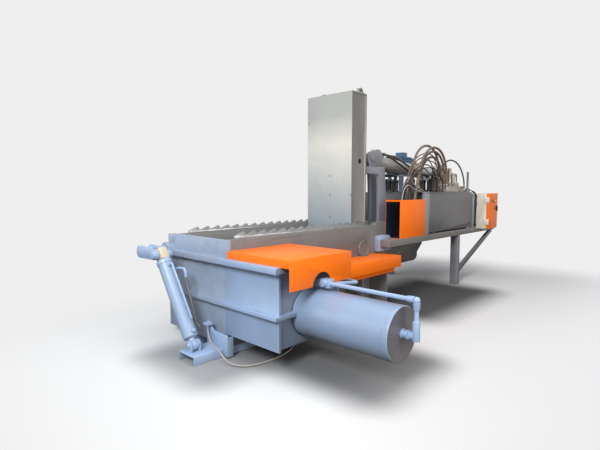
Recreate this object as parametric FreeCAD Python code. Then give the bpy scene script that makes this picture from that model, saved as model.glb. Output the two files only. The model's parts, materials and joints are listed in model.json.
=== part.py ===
"""Three-ram scrap baling press, in millimetres.

Frame: X runs along the press from its end wall to the power pack, Y runs from the
side cylinder (-Y) to the bale gate (+Y), Z is up. X = 0 is the outer face of the end
wall, Y = 0 the middle of the charging chamber and Z = 0 the floor.
"""
import FreeCAD, Part
import math
import os

V = FreeCAD.Vector
X, Y, Z = V(1, 0, 0), V(0, 1, 0), V(0, 0, 1)

# ---------------------------------------------------------------- driving dimensions
# Fits
fit = 0.09                     # running fit, radial
seat = 0.3                     # gap between pieces that only rest side by side, and round a piston

# Charging chamber
chamber_length = 2600.0        # outer, end wall to rear wall
chamber_width = 730.0          # clear, between the two long walls
wall = 75.0                    # long walls, box section
wall_top = 1045.0
wall_step = 35.0               # the walls rise this much round the lid hinge
wall_step_length = 260.0
end_plate = 30.0
rear_plate = 30.0
floor_top = 217.0
floor_plate = 30.0
chassis_bottom = 77.0

# Base channels
channel_width = 240.0
channel_leg = 14.0
channel_web = 12.0
channel_centre = 305.0         # from the chamber's middle to each channel's middle
channel_reach = 360.0          # how far the channels stand out of the end wall
far_channel_x0 = 60.0
channel_tail = 2500.0
tie_x0, tie_x1 = -20.0, 240.0
anchor_x = 120.0
tie_thickness = 12.0
anchor_hole = 13.0             # radius
anchor_pitch = 160.0

# Ribs of the end wall
top_rib_z = 835.0
top_rib = 52.0
top_rib_reach = 62.0
mid_rib_z = 455.0
mid_rib = 32.0
mid_rib_reach = 45.0
edge_rib = 22.0
end_wall_left = 577.0          # gate side edge of the end wall
end_wall_upper_left = 500.0    # the same edge above the lock shaft
shaft_boss_r = 68.0

# Shear blades
blade_x0 = 120.0
blade_tail = 100.0             # from the blade's end to the raised end of the wall
blade_teeth = 16
blade_thick = 28.0
tooth_base, tooth_tip = 26.0, 62.0     # over the wall top

# Side ram housing
housing_length = 765.0         # along X
housing_port = 53.0            # from the housing's end to the lock hose's port
housing_outer = -1045.0        # Y of its outer plate
housing_plate = 30.0
housing_bottom = 187.0
housing_top = 835.0

# Folded covers
cover_x0, cover_x1 = -14.0, housing_length
cover_y0, cover_y1 = -1225.0, -442.0
cover_top = 952.0
cover_lip = 708.0
cover_sheet = 5.0
cover_notch_x, cover_notch_r = housing_length - 395.0, 118.0
ledge_x0, ledge_x1 = housing_length + seat, 2370.0
ledge_y0 = -785.0
ledge_top = 690.0
ledge_bottom = 554.0
ledge_rib_y = -700.0
ledge_rib_x = [1180.0, 1690.0, 2190.0]

# Rams and their cylinders
ram_height = 403.0
ram_gap = 6.0                  # ram to floor and walls
side_ram_width = 560.0
side_ram_depth = 400.0
side_axis_x, side_axis_z = housing_length - 365.0, 450.0
side_barrel_r = 211.0
side_rod_r = 90.0
side_cap_y = -1963.0
main_ram_depth = 430.0
main_barrel_r = 120.0
main_rod_r = 65.0
main_barrel_length = 1390.0
main_axis_z = 465.0

# Lid
lid_hinge_x = 2050.0
lid_hinge_z = 770.0
lid_length = 1900.0
lid_front = 138.0              # hinge axis to the lid's pressing face
lid_back = 164.0
lid_gap = 8.0                  # lid to chamber wall
lid_pin_r = 60.0
lid_disc_r = 108.0
lid_hub_r = 118.0

# Lid arms and lid cylinder
arm_plate = 40.0
ear_pin_x = 2655.0
ear_pin_z = 1905.0
ear_r = 105.0
ear_pin_r = 35.0
rod_eye_half = 45.0
lid_tail_x = 4900.0
lid_tail_z = 1720.0
ear_reach = (145.0, 35.0)      # from the ear pin to the ear's second corner
inner_arm_y = 128.0            # middle of each inner arm
outer_arm_y = 270.0
lid_barrel_r = 98.0
lid_rod_r = 55.0
lid_port_along = [150.0, 420.0]     # from the ear pin along the cylinder
lid_elbow_along = [1166.0, 1316.0]

# Bale gate and its lock
gate_bottom = 150.0
gate_top = 745.0
gate_x0, gate_x1 = 90.0, 740.0
gate_window_top = 640.0
gate_thick = 50.0
gate_pin_y = 484.0
gate_pin_z = 800.0
gate_pin_r = 22.0
lock_y, lock_z = 520.0, 889.0
lock_shaft_r = 40.0
lock_arm = 295.0
claw_peg_y, claw_peg_z = 471.0, 640.0
claw_tip = (755.0, 803.5)      # Y and Z with the lock open
claw_nose = (735.0, 763.0)
claw_x = [44.0, 748.0]
claw_width = 40.0
lock_plane = -275.0            # X of the lock cylinder's axis
lock_foot_y, lock_foot_z = -285.0, 134.0
lock_barrel_r = 66.0
lock_rod_r = 35.0

# Platform and power pack
beam_bottom, beam_top = 780.0, 865.0
beam_outer = -655.0
beam_width = 130.0
beam_x0, beam_x1 = 2300.0, 5810.0
lug_x0, lug_length = 2292.0, 250.0
lug_low, lug_high = 63.0, 50.0         # under and over the beam
lug_corner = 62.0
leg_x = 4300.0
leg_depth = 80.0
post_x0, post_x1 = 3215.0, 3335.0
guard_x0 = 2545.0
guard_y1 = -441.0              # inner side of the guard
guard_z1 = 1360.0
hose_bar_x0, hose_bar_x1 = 2935.0, 3150.0
tank_x0, tank_x1 = 3360.0, 4780.0
tank_z0, tank_z1 = 890.0, 1440.0
tank_y1 = 560.0
cabinet_x0, cabinet_x1 = 4960.0, 5370.0
cabinet_z0, cabinet_z1 = 850.0, 1430.0
cabinet_y0, cabinet_y1 = -855.0, -655.0

parts = {}


# ---------------------------------------------------------------- small helpers
def box(x0, x1, y0, y1, z0, z1):
    """Block between two opposite corners."""
    return Part.makeBox(x1 - x0, y1 - y0, z1 - z0, V(x0, y0, z0))


def rod(start, end, radius):
    """Round bar between two points."""
    axis = end - start
    return Part.makeCylinder(radius, axis.Length, start, axis)


def tube(start, end, outer, inner):
    """Round bar with a bore."""
    axis = (end - start).normalize()
    return rod(start, end, outer).cut(rod(start - axis, end + axis, inner))


def turned(start, axis, profile):
    """Solid of revolution; the profile is (distance along the axis, radius)."""
    first, last = profile[0][0], profile[-1][0]
    points = [V(0, 0, first)] + [V(r, 0, d) for d, r in profile] + [V(0, 0, last), V(0, 0, first)]
    solid = Part.Face(Part.makePolygon(points)).revolve(V(0, 0, 0), Z, 360)
    solid.Placement = FreeCAD.Placement(start, FreeCAD.Rotation(Z, axis))
    return solid


def plate_xz(points, y0, y1):
    """Flat plate with an outline in X and Z, between two Y faces."""
    wire = Part.makePolygon([V(x, y0, z) for x, z in points + points[:1]])
    return Part.Face(wire).extrude(V(0, y1 - y0, 0))


def plate_yz(points, x0, x1):
    """Flat plate with an outline in Y and Z, between two X faces."""
    wire = Part.makePolygon([V(x0, y, z) for y, z in points + points[:1]])
    return Part.Face(wire).extrude(V(x1 - x0, 0, 0))


def plate_xy(points, z0, z1):
    """Flat plate with an outline in X and Y, between two Z faces."""
    wire = Part.makePolygon([V(x, y, z0) for x, y in points + points[:1]])
    return Part.Face(wire).extrude(V(0, 0, z1 - z0))


def join(first, *others):
    """One solid out of several, without the seams between them."""
    return first.fuse(list(others)).removeSplitter()


def group(solids):
    """Several like solids that share one node."""
    return Part.makeCompound(solids)


def mirror_y(shape):
    """The same piece on the other side of the chamber."""
    return shape.mirror(V(0, 0, 0), Y)


def link_yz(centre_a, radius_a, centre_b, radius_b, x0, x1):
    """Flat link with round ends, lying in Y and Z."""
    dy, dz = centre_b[0] - centre_a[0], centre_b[1] - centre_a[1]
    angle = math.atan2(dz, dy)
    spread = math.acos((radius_a - radius_b) / math.hypot(dy, dz))
    corners = []
    for (cy, cz), radius, side in ((centre_a, radius_a, 1), (centre_a, radius_a, -1),
                                   (centre_b, radius_b, -1), (centre_b, radius_b, 1)):
        a = angle + side * spread
        corners.append((cy + radius * math.cos(a), cz + radius * math.sin(a)))
    ends = [rod(V(x0, *centre), V(x1, *centre), radius)
            for centre, radius in ((centre_a, radius_a), (centre_b, radius_b))]
    return join(plate_yz(corners, x0, x1), *ends)


def hex_bolt(centre, axis, across, height):
    """Hexagonal head that stands on a face."""
    flats = [(across / 2 / math.cos(math.pi / 6) * math.cos(k * math.pi / 3),
              across / 2 / math.cos(math.pi / 6) * math.sin(k * math.pi / 3)) for k in range(6)]
    head = plate_xy(flats, 0, height)
    head.Placement = FreeCAD.Placement(centre, FreeCAD.Rotation(Z, axis))
    return head


def bent_pipe(points, radius, bend):
    """Pipe along straight runs with equal bends."""
    edges, start = [], points[0]
    for a, b, c in zip(points, points[1:], points[2:]):
        into, out = (b - a).normalize(), (c - b).normalize()
        turn = into.getAngle(out)
        back = bend * math.tan(turn / 2)
        p, q = b - into * back, b + out * back
        mid = b + (out - into).normalize() * (bend / math.cos(turn / 2) - bend)
        edges += [Part.LineSegment(start, p).toShape(), Part.Arc(p, mid, q).toShape()]
        start = q
    edges.append(Part.LineSegment(start, points[-1]).toShape())
    wire = Part.Wire(edges)
    first = (points[1] - points[0]).normalize()
    ring = Part.Wire(Part.Circle(points[0], first, radius).toShape())
    return wire.makePipeShell([ring], True, False)


# ---------------------------------------------------------------- derived places
half = chamber_width / 2
wall_outer = half + wall
ram_bottom = floor_top + ram_gap
ram_top = ram_bottom + ram_height
side_x0 = side_axis_x - side_ram_width / 2
side_x1 = side_axis_x + side_ram_width / 2


# ---------------------------------------------------------------- base
def base_channel(reach):
    """Inverted channel that carries the chamber, near side."""
    y0 = -channel_centre - channel_width / 2
    y1 = -channel_centre + channel_width / 2
    outer = box(-reach, channel_tail, y0, y1, 0, chassis_bottom)
    hollow = box(-reach - 1, channel_tail + 1, y0 + channel_leg, y1 - channel_leg,
                 -1, chassis_bottom - channel_web)
    return outer.cut(hollow)


def base_tie():
    """Flat bar between the channels, drilled for two anchor bolts."""
    y1 = channel_centre - channel_width / 2
    bar = box(tie_x0, tie_x1, -y1, y1, 0, tie_thickness)
    holes = [rod(V(anchor_x, s * anchor_pitch / 2, -1),
                 V(anchor_x, s * anchor_pitch / 2, tie_thickness + 1), anchor_hole)
             for s in (-1, 1)]
    return bar.cut(group(holes))


parts["base_channels"] = group([base_channel(channel_reach), mirror_y(base_channel(-far_channel_x0))])
parts["base_tie"] = base_tie()


# ---------------------------------------------------------------- chamber
def chamber_floor():
    """Floor plate on cross beams."""
    plate = box(end_plate, chamber_length - rear_plate, -half, half, floor_top - floor_plate, floor_top)
    pitch = (chamber_length - 400) / 5
    beams = [box(170 + k * pitch, 250 + k * pitch, -half, half, chassis_bottom, floor_top - floor_plate)
             for k in range(6)]
    return join(plate, *beams)


def long_wall():
    """Near wall of the chamber: box plate with a raised end round the lid hinge."""
    x0, x1 = end_plate, chamber_length
    step = x1 - wall_step_length
    outline = [(x0, chassis_bottom), (x1, chassis_bottom), (x1, wall_top + wall_step),
               (step, wall_top + wall_step), (step - wall_step, wall_top), (x0, wall_top)]
    plate = plate_xz(outline, -wall_outer, -half)
    hinge = rod(V(lid_hinge_x, -wall_outer - 1, lid_hinge_z), V(lid_hinge_x, -half + 1, lid_hinge_z),
                lid_pin_r + fit)
    return plate.cut(hinge)


def near_wall():
    """Near wall with the window that the side ram comes through, and outer ribs."""
    window = box(side_x0 - ram_gap, side_x1 + ram_gap, -wall_outer - 1, -half + 1,
                 floor_top, ram_top + ram_gap)
    body = long_wall().cut(window)
    ribs = [box(x, x + 20, ledge_rib_y + 6, -wall_outer, chassis_bottom, ledge_bottom)
            for x in ledge_rib_x]
    return join(body, *ribs)


def far_wall():
    """Far wall with the gate window."""
    window = box(side_x0 - ram_gap, side_x1 + ram_gap, half - 1, wall_outer + 1, floor_top,
                 gate_window_top)
    return mirror_y(long_wall()).cut(window)


def end_wall():
    """End wall: plate, two long horizontal ribs, edge rib, boss and bore for the lock shaft."""
    left, upper_left = end_wall_left, end_wall_upper_left
    lower_right = -half - 30
    rib_top = top_rib_z + top_rib
    boss_top = lock_z + shaft_boss_r
    outline = [(lower_right, chassis_bottom), (left, chassis_bottom), (left, boss_top),
               (upper_left, boss_top), (upper_left, wall_top), (-wall_outer, wall_top),
               (-wall_outer, rib_top + seat), (lower_right, rib_top + seat)]
    plate = plate_yz(outline, 0, end_plate)
    top = box(-top_rib_reach, 0, lower_right, left - 40, top_rib_z, rib_top)
    mid = box(-mid_rib_reach, 0, lower_right, left - 60, mid_rib_z, mid_rib_z + mid_rib)
    edge = box(-mid_rib_reach, 0, upper_left - edge_rib, upper_left, boss_top - edge_rib, wall_top)
    boss = rod(V(-top_rib_reach - 18, lock_y, lock_z), V(0, lock_y, lock_z), shaft_boss_r)
    bore = rod(V(-200, lock_y, lock_z), V(200, lock_y, lock_z), lock_shaft_r + fit)
    slot = box(-1, end_plate + 1, 220, 330, top_rib_z - 40, top_rib_z - 14)
    return join(plate, top, mid, edge, boss).cut(bore).cut(slot)


def rear_wall():
    """Rear wall with the bore that the main cylinder's neck sits in."""
    plate = box(chamber_length - rear_plate, chamber_length, -half, half, chassis_bottom, 740)
    neck = rod(V(chamber_length - 100, 0, main_axis_z), V(chamber_length + 1, 0, main_axis_z),
               main_barrel_r * 0.75)
    return plate.cut(neck)


parts["chamber_floor"] = chamber_floor()
parts["near_wall"] = near_wall()
parts["far_wall"] = far_wall()
parts["end_wall"] = end_wall()
parts["rear_wall"] = rear_wall()


def shear_blade(y0, y1):
    """Toothed shear strip on a wall top: a saw of shallow ramps with steep backs."""
    x0, x1 = blade_x0, chamber_length - wall_step_length - blade_tail
    pitch = (x1 - x0) / blade_teeth
    base, tip = wall_top + tooth_base, wall_top + tooth_tip
    outline = [(x0, wall_top), (x0, base)]
    for k in range(blade_teeth):
        start = x0 + k * pitch
        outline += [(start + 0.80 * pitch, tip), (start + pitch, base)]
    outline += [(x1, wall_top)]
    return plate_xz(outline, y0, y1)


parts["near_shear_blade"] = shear_blade(-half - blade_thick, -half)
parts["far_shear_blade"] = shear_blade(half, half + blade_thick)


# ---------------------------------------------------------------- side ram housing
def side_housing():
    """Box that guides the side ram: cheeks, floor, outer plate and the ribs round it."""
    bore = rod(V(side_axis_x, housing_outer - 200, side_axis_z), V(side_axis_x, housing_outer + 300,
               side_axis_z), side_barrel_r + seat)
    y1 = -wall_outer
    left = box(0, side_x0 - ram_gap, housing_outer, -half - 30 - seat, housing_bottom, housing_top)
    left = left.cut(box(end_plate, side_x0, y1, 0, 0, wall_top))
    right = box(side_x1 + ram_gap, housing_length, housing_outer, y1, housing_bottom, housing_top)
    floor = box(0, housing_length, housing_outer, y1, housing_bottom, floor_top)
    back = box(0, housing_length, housing_outer, housing_outer + housing_plate, housing_bottom,
               housing_top)
    body = join(left, right, floor, back)
    ribs = []
    for z, thick, reach in ((top_rib_z, top_rib, top_rib_reach), (mid_rib_z, mid_rib, mid_rib_reach)):
        ribs.append(box(-reach, 0, housing_outer, -half - 30 - seat, z, z + thick))
        ribs.append(box(-reach, housing_length, housing_outer - reach - 12.7, housing_outer, z, z + thick))
    top = box(0, housing_length, housing_outer, y1, top_rib_z, top_rib_z + top_rib)
    top = top.cut(box(side_x0, side_x1, housing_outer + 90, 0, 0, wall_top))
    front = box(0, end_plate, y1, -half - 30 - seat, top_rib_z, top_rib_z + top_rib)
    post = [box(x, x + 24, housing_outer - 45, housing_outer, housing_bottom, top_rib_z)
            for x in (0, housing_length - 24)]
    port_x = housing_length - housing_port
    port = rod(V(port_x, -616, 150), V(port_x, -616, housing_bottom), 14)
    return join(body, *ribs, top, front, *post, port).cut(bore)


def side_cover():
    """Folded cover over the side ram: flat top, end lips, deep front with a round notch."""
    t = cover_sheet
    outer = box(cover_x0, cover_x1, cover_y0, cover_y1, cover_lip, cover_top)
    inner = box(cover_x0 + t, cover_x1 - t, cover_y0 + t, cover_y1 + 1, cover_lip - 1, cover_top - t)
    shell = outer.cut(inner)
    side = box(cover_x0 - 1, cover_x1 + 1, cover_y0 + t + seat, cover_y1 + 1, 0,
               top_rib_z + top_rib + seat)
    notch = rod(V(cover_notch_x, cover_y0 - 1, cover_lip - 8), V(cover_notch_x, cover_y0 + t + 1,
                cover_lip - 8), cover_notch_r)
    return shell.cut(side).cut(notch)


def ledge_cover():
    """Folded cover beside the chamber, with a round clearance for the hinge disc."""
    t = cover_sheet
    outer = box(ledge_x0, ledge_x1, ledge_y0, -wall_outer - seat, ledge_bottom, ledge_top)
    inner = box(ledge_x0 + t, ledge_x1 - t, ledge_y0 + t, -wall_outer + 1, ledge_bottom - 1,
                ledge_top - t)
    shell = outer.cut(inner)
    disc = rod(V(lid_hinge_x, -wall_outer - 60, lid_hinge_z), V(lid_hinge_x, -half, lid_hinge_z),
               lid_disc_r + 12)
    skirt = box(ledge_x0, ledge_x1 - 10, ledge_rib_y, ledge_rib_y + t, ledge_bottom - 70, ledge_top - t)
    return join(shell, skirt).cut(disc)


parts["side_housing"] = side_housing()
parts["side_cover"] = side_cover()
parts["ledge_cover"] = ledge_cover()


# ---------------------------------------------------------------- rams and cylinders
def side_ram():
    """Side ram: thick block with relief grooves on its face."""
    y1 = -half
    y0 = y1 - side_ram_depth
    block = box(side_x0, side_x1, y0, y1, ram_bottom, ram_top)
    grooves = [box(side_x0 + 60, side_x1 - 60, y1 - 8, y1 + 1, z, z + 12)
               for z in (ram_bottom + 95, ram_bottom + 200, ram_bottom + 305)]
    pocket = box(side_x0 + 40, side_x1 - 40, y0 - 1, y0 + side_ram_depth - 90, ram_bottom + 40,
                 ram_top - 40)
    hub = rod(V(side_axis_x, y0, side_axis_z), V(side_axis_x, y1 - 90, side_axis_z), side_rod_r + 50)
    web = box(side_axis_x - 12, side_axis_x + 12, y0, y1 - 90, ram_bottom + 40, ram_top - 40)
    spigot = rod(V(side_axis_x, y0 - 1, side_axis_z), V(side_axis_x, y0 + 120, side_axis_z), side_rod_r)
    return join(block.cut(group(grooves)).cut(pocket), hub, web).cut(spigot)


side_barrel_y1 = housing_outer + 190.0
side_ram_y0 = -half - side_ram_depth


def side_rod():
    """Chromed rod with its piston."""
    start = V(side_axis_x, side_cap_y + 70, side_axis_z)
    piston = rod(start, start + V(0, 90, 0), side_barrel_r - 25 - seat)
    shaft = rod(start, V(side_axis_x, side_ram_y0 + 120, side_axis_z), side_rod_r)
    return join(piston, shaft)


def side_cylinder():
    """Barrel with a flat end cap behind a weld groove, and a gland in its mouth."""
    cap = V(side_axis_x, side_cap_y, side_axis_z)
    mouth = V(side_axis_x, side_barrel_y1, side_axis_z)
    length, r = mouth.y - cap.y, side_barrel_r
    outer = turned(cap, Y, [(0, r - 6), (6, r), (44, r), (47, r - 3), (51, r - 3), (54, r),
                            (length - 8, r), (length, r - 6)])
    bore = rod(cap + V(0, 45, 0), mouth - V(0, 60, 0), side_barrel_r - 25)
    throat = rod(mouth - V(0, 61, 0), mouth + V(0, 1, 0), side_rod_r + fit)
    return outer.cut(bore).cut(throat)


def main_ram():
    """Main ram: block with a shear edge on top and a hollow back."""
    x0, x1 = main_ram_x0, main_ram_x0 + main_ram_depth
    y = half - ram_gap
    block = box(x0, x1, -y, y, ram_bottom, ram_top)
    pocket = box(x0 + 90, x1 + 1, -y + 40, y - 40, ram_bottom + 40, ram_top - 40)
    hub = rod(V(x0 + 90, 0, main_axis_z), V(x1, 0, main_axis_z), main_rod_r + 50)
    web = box(x0 + 90, x1, -12, 12, ram_bottom + 40, ram_top - 40)
    grooves = [box(x0 - 1, x0 + 8, -y + 60, y - 60, z, z + 12)
               for z in (ram_bottom + 95, ram_bottom + 200, ram_bottom + 305)]
    spigot = rod(V(x1 - 120, 0, main_axis_z), V(x1 + 1, 0, main_axis_z), main_rod_r)
    return join(block.cut(pocket).cut(group(grooves)), hub, web).cut(spigot)


main_ram_x0 = chamber_length - rear_plate - 10 - main_ram_depth
main_cap_x = chamber_length + main_barrel_length


def main_rod():
    """Rod of the main ram with its piston."""
    start = V(main_cap_x - 60, 0, main_axis_z)
    piston = rod(start, start - V(80, 0, 0), main_barrel_r - 22 - seat)
    shaft = rod(start, V(main_ram_x0 + main_ram_depth - 120, 0, main_axis_z), main_rod_r)
    return join(piston, shaft)


def main_cylinder():
    """Main cylinder with a square front flange on the rear wall and a spigot neck."""
    face = chamber_length
    barrel = rod(V(face, 0, main_axis_z), V(main_cap_x, 0, main_axis_z), main_barrel_r)
    flange = box(face, face + 45, -215, 215, main_axis_z - 190, main_axis_z + 190)
    neck = rod(V(face - rear_plate, 0, main_axis_z), V(face, 0, main_axis_z), main_barrel_r * 0.75)
    bore = rod(V(face + 60, 0, main_axis_z), V(main_cap_x - 40, 0, main_axis_z), main_barrel_r - 22)
    throat = rod(V(face - 100, 0, main_axis_z), V(face + 61, 0, main_axis_z), main_rod_r + fit)
    bolts = [hex_bolt(V(face + 45, y, main_axis_z + z), X, 36, 18)
             for y in (-180, 180) for z in (-150, 0, 150)]
    return join(barrel, flange, neck, *bolts).cut(bore).cut(throat)


parts["side_ram"] = side_ram()
parts["side_ram_rod"] = side_rod()
parts["side_cylinder"] = side_cylinder()
parts["main_ram"] = main_ram()
parts["main_ram_rod"] = main_rod()
parts["main_cylinder"] = main_cylinder()


# ---------------------------------------------------------------- lid
lid_half = half - lid_gap
lid_x0, lid_x1 = lid_hinge_x - lid_front, lid_hinge_x + lid_back
lid_top = lid_hinge_z + lid_length


def lid():
    """Upright lid: deep box with inset sides, hinge hub, plug welds' plates and lifting lugs."""
    y = lid_half
    body = box(lid_x0, lid_x1, -y, y, lid_hinge_z + 20, lid_top)
    inset = [box(lid_x0 + 22, lid_x1 - 22, s * y - 8, s * y + 8, lid_hinge_z + lid_hub_r + 30, lid_top - 22)
             for s in (-1, 1)]
    hub = rod(V(lid_hinge_x, -y, lid_hinge_z), V(lid_hinge_x, y, lid_hinge_z), lid_hub_r)
    bore = rod(V(lid_hinge_x, -y - 1, lid_hinge_z), V(lid_hinge_x, y + 1, lid_hinge_z), lid_pin_r + fit)
    grease = rod(V(lid_hinge_x + 40, -y - 1, 1840), V(lid_hinge_x + 40, -y + 60, 1840), 30)
    lugs = []
    for s in (-1, 1):
        y0 = s * (y - 70) - 20
        ear = join(box(lid_x1 - 110, lid_x1, y0, y0 + 40, lid_top - 1, lid_top + 30),
                   rod(V(lid_x1 - 55, y0, lid_top + 25), V(lid_x1 - 55, y0 + 40, lid_top + 25), 50))
        lugs.append(ear.cut(rod(V(lid_x1 - 55, y0 - 1, lid_top + 30), V(lid_x1 - 55, y0 + 41,
                    lid_top + 30), 20)))
    return join(body.cut(group(inset)), hub, *lugs).cut(bore).cut(grease)


def lid_pin():
    """Hinge pin through both walls, with a dished disc turned on each end."""
    end, r = wall_outer + 22, lid_disc_r
    pin = rod(V(lid_hinge_x, -end + 6, lid_hinge_z), V(lid_hinge_x, end - 6, lid_hinge_z), lid_pin_r)
    disc = turned(V(lid_hinge_x, wall_outer, lid_hinge_z), Y,
                  [(0, r), (18, r), (22, r - 4), (22, r - 12), (16, r - 16)])
    return join(pin, disc, mirror_y(disc))


def arm_outline(top_z):
    """Curved rear arm of the lid, seen from the side."""
    tip = (top_z - 1850) * 0.17
    rear = [V(2735 - tip, 0, top_z), V(2790, 0, 1420), V(2905, 0, 1000)]
    front = [V(2610, 0, 1000), V(2610, 0, 1420), V(2575 - tip, 0, top_z)]
    edges = [Part.Arc(*rear).toShape(), Part.LineSegment(rear[2], V(2860, 0, 850)).toShape(),
             Part.LineSegment(V(2860, 0, 850), V(lid_x1, 0, 810)).toShape(),
             Part.LineSegment(V(lid_x1, 0, 810), V(lid_x1, 0, 970)).toShape(),
             Part.LineSegment(V(lid_x1, 0, 970), front[0]).toShape(),
             Part.Arc(*front).toShape(), Part.LineSegment(front[2], rear[0]).toShape()]
    return Part.Face(Part.Wire(edges))


def ear_plate():
    """Ear of an inner arm: two round corners round the pin, with straight flanks."""
    x, z = ear_pin_x, ear_pin_z
    dx, dz = ear_reach
    long = math.hypot(dx, dz)
    nx, nz = -dz / long * ear_r, dx / long * ear_r
    flanks = plate_xz([(x + nx, z + nz), (x + dx + nx, z + dz + nz), (x + dx - nx, z + dz - nz),
                       (x - nx, z - nz)], 0, arm_plate)
    rounds = [rod(V(cx, 0, cz), V(cx, arm_plate, cz), ear_r) for cx, cz in ((x, z), (x + dx, z + dz))]
    return join(flanks, *rounds)


def lid_arms():
    """Four curved arms behind the lid; the inner pair carries the cylinder's ears."""
    plates = []
    for y, inner in ((-outer_arm_y, False), (-inner_arm_y, True), (inner_arm_y, True),
                     (outer_arm_y, False)):
        top_z = ear_pin_z if inner else 1800.0
        plate = arm_outline(top_z).extrude(V(0, arm_plate, 0))
        web = box(lid_x1, 2640, 0, arm_plate, 1700, 1790)
        arm = join(plate, web)
        if inner:
            hole = rod(V(ear_pin_x, -1, ear_pin_z), V(ear_pin_x, arm_plate + 1, ear_pin_z), ear_pin_r)
            arm = join(arm, ear_plate()).cut(hole)
        arm.translate(V(0, y - arm_plate / 2, 0))
        plates.append(arm)
    ties = [box(lid_x1, lid_x1 + 30, -290, 290, z, z + 90) for z in (840, 1700)]
    tubes = [rod(V(2790, s * (outer_arm_y - arm_plate / 2), 930),
                 V(2790, s * (inner_arm_y + arm_plate / 2), 930), 40) for s in (-1, 1)]
    return join(*plates, *ties, *tubes)


def lid_ear_pins():
    """Pin of the lid's ears in two halves, one each side of the rod's eye."""
    y = inner_arm_y + arm_plate / 2
    pins = [rod(V(ear_pin_x, s * (rod_eye_half + seat), ear_pin_z), V(ear_pin_x, s * (y + 12),
            ear_pin_z), ear_pin_r) for s in (-1, 1)]
    keeper = box(ear_pin_x - 55, ear_pin_x + 55, -y - 10, -y, ear_pin_z + 22, ear_pin_z + 42)
    return join(pins[0], keeper), pins[1]


lid_ear = V(ear_pin_x, 0, ear_pin_z)
lid_tail = V(lid_tail_x, 0, lid_tail_z)
lid_axis = (lid_tail - lid_ear).normalize()
lid_port_out = V(0, -0.35, 0.936750)


def lid_rod():
    """Rod with its eye and piston; the eye has room round the ear pin."""
    eye = rod(lid_ear - V(0, rod_eye_half, 0), lid_ear + V(0, rod_eye_half, 0), 80)
    shaft = rod(lid_ear + lid_axis * 60, lid_tail - lid_axis * 180, lid_rod_r)
    piston = rod(lid_tail - lid_axis * 260, lid_tail - lid_axis * 180, lid_barrel_r - 16 - seat)
    return join(eye, shaft, piston)


def lid_barrel():
    """Barrel with a gland collar, a tapered tail with its eye, and four hose elbows."""
    mouth = lid_ear + lid_axis * 110
    back = lid_tail - lid_axis * 120
    length, r = (back - mouth).Length, lid_barrel_r
    outer = turned(mouth, lid_axis, [(0, r), (4, r + 5), (66, r + 5), (71, r), (length - 60, r),
                                     (length - 54, r + 4), (length - 44, r + 4), (length - 38, r - 4),
                                     (length, r - 28)])
    eye = join(rod(lid_tail - V(0, 50, 0), lid_tail + V(0, 50, 0), 80),
               rod(back - lid_axis * 2, lid_tail - lid_axis * 40, 62))
    bore = rod(mouth + lid_axis * 60, back - lid_axis * 55, r - 16)
    throat = rod(mouth - lid_axis, mouth + lid_axis * 61, lid_rod_r + fit)
    hole = rod(lid_tail - V(0, 60, 0), lid_tail + V(0, 60, 0), ear_pin_r + fit)
    level, lower = V(0, -1, 0), V(0, -math.sqrt(0.75), -0.5)
    elbows = []
    for along, out, reach in ((lid_port_along[0], lid_port_out, 140), (lid_port_along[1], lid_port_out, 140),
                              (lid_elbow_along[0], level, 150), (lid_elbow_along[1], lower, 150)):
        turn = lid_ear + lid_axis * along + out * reach
        side = 1 if out is lid_port_out else -1
        elbows.append(rod(turn - out * (reach - r + 12), turn + out * 20, 22))
        elbows.append(rod(turn, turn + lid_axis * side * 26, 21))
    return join(outer, eye, *elbows).cut(bore).cut(throat).cut(hole)


def lid_tail_bracket():
    """Stand on the platform that holds the lid cylinder's tail pin."""
    plates = []
    for s in (-1, 1):
        y0 = 75 if s > 0 else -105
        outline = [(lid_tail_x - 105, beam_top), (lid_tail_x + 210, beam_top),
                   (lid_tail_x + 75, lid_tail_z + 40), (lid_tail_x + 40, lid_tail_z + 75),
                   (lid_tail_x - 40, lid_tail_z + 75), (lid_tail_x - 75, lid_tail_z + 40)]
        plates.append(plate_xz(outline, y0, y0 + 30))
    tie = box(lid_tail_x - 60, lid_tail_x + 60, -75, 75, beam_top + 200, beam_top + 225)
    pin = rod(V(lid_tail_x, -130, lid_tail_z), V(lid_tail_x, 130, lid_tail_z), ear_pin_r)
    base = box(lid_tail_x - 115, lid_tail_x + 230, -160, 160, beam_top, beam_top + 20)
    return join(*plates, tie, base, pin)


parts["lid"] = lid()
parts["lid_hinge_pin"] = lid_pin()
parts["lid_arms"] = join(lid_arms(), *lid_ear_pins())
parts["lid_rod"] = lid_rod()
parts["lid_barrel"] = lid_barrel()
parts["lid_tail_bracket"] = lid_tail_bracket()


# ---------------------------------------------------------------- bale gate and lock
gate_y0 = wall_outer + 6


def gate():
    """Flap gate with stiffening ribs and two hinge knuckles."""
    y1 = gate_y0 + gate_thick
    plate = box(gate_x0, gate_x1, gate_y0, y1 - 20, gate_bottom, gate_top)
    ribs = [box(gate_x0, gate_x1, y1 - 20, y1, z, z + 40) for z in (gate_bottom, 360, 560)]
    solids = []
    for x in (150, 560):
        knuckle = rod(V(x, gate_pin_y, gate_pin_z), V(x + 120, gate_pin_y, gate_pin_z), gate_pin_r + 18)
        strap = box(x, x + 120, gate_y0, y1 - 20, gate_top - 1, gate_pin_z)
        solids += [knuckle, strap]
    bore = rod(V(0, gate_pin_y, gate_pin_z), V(1000, gate_pin_y, gate_pin_z), gate_pin_r + fit)
    pegs = [rod(V(x, claw_peg_y, claw_peg_z), V(x + s * 54, claw_peg_y, claw_peg_z), 20)
            for x, s in ((gate_x0, -1), (gate_x1, 1))]
    return join(plate, *ribs, *solids, *pegs).cut(bore)


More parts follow.
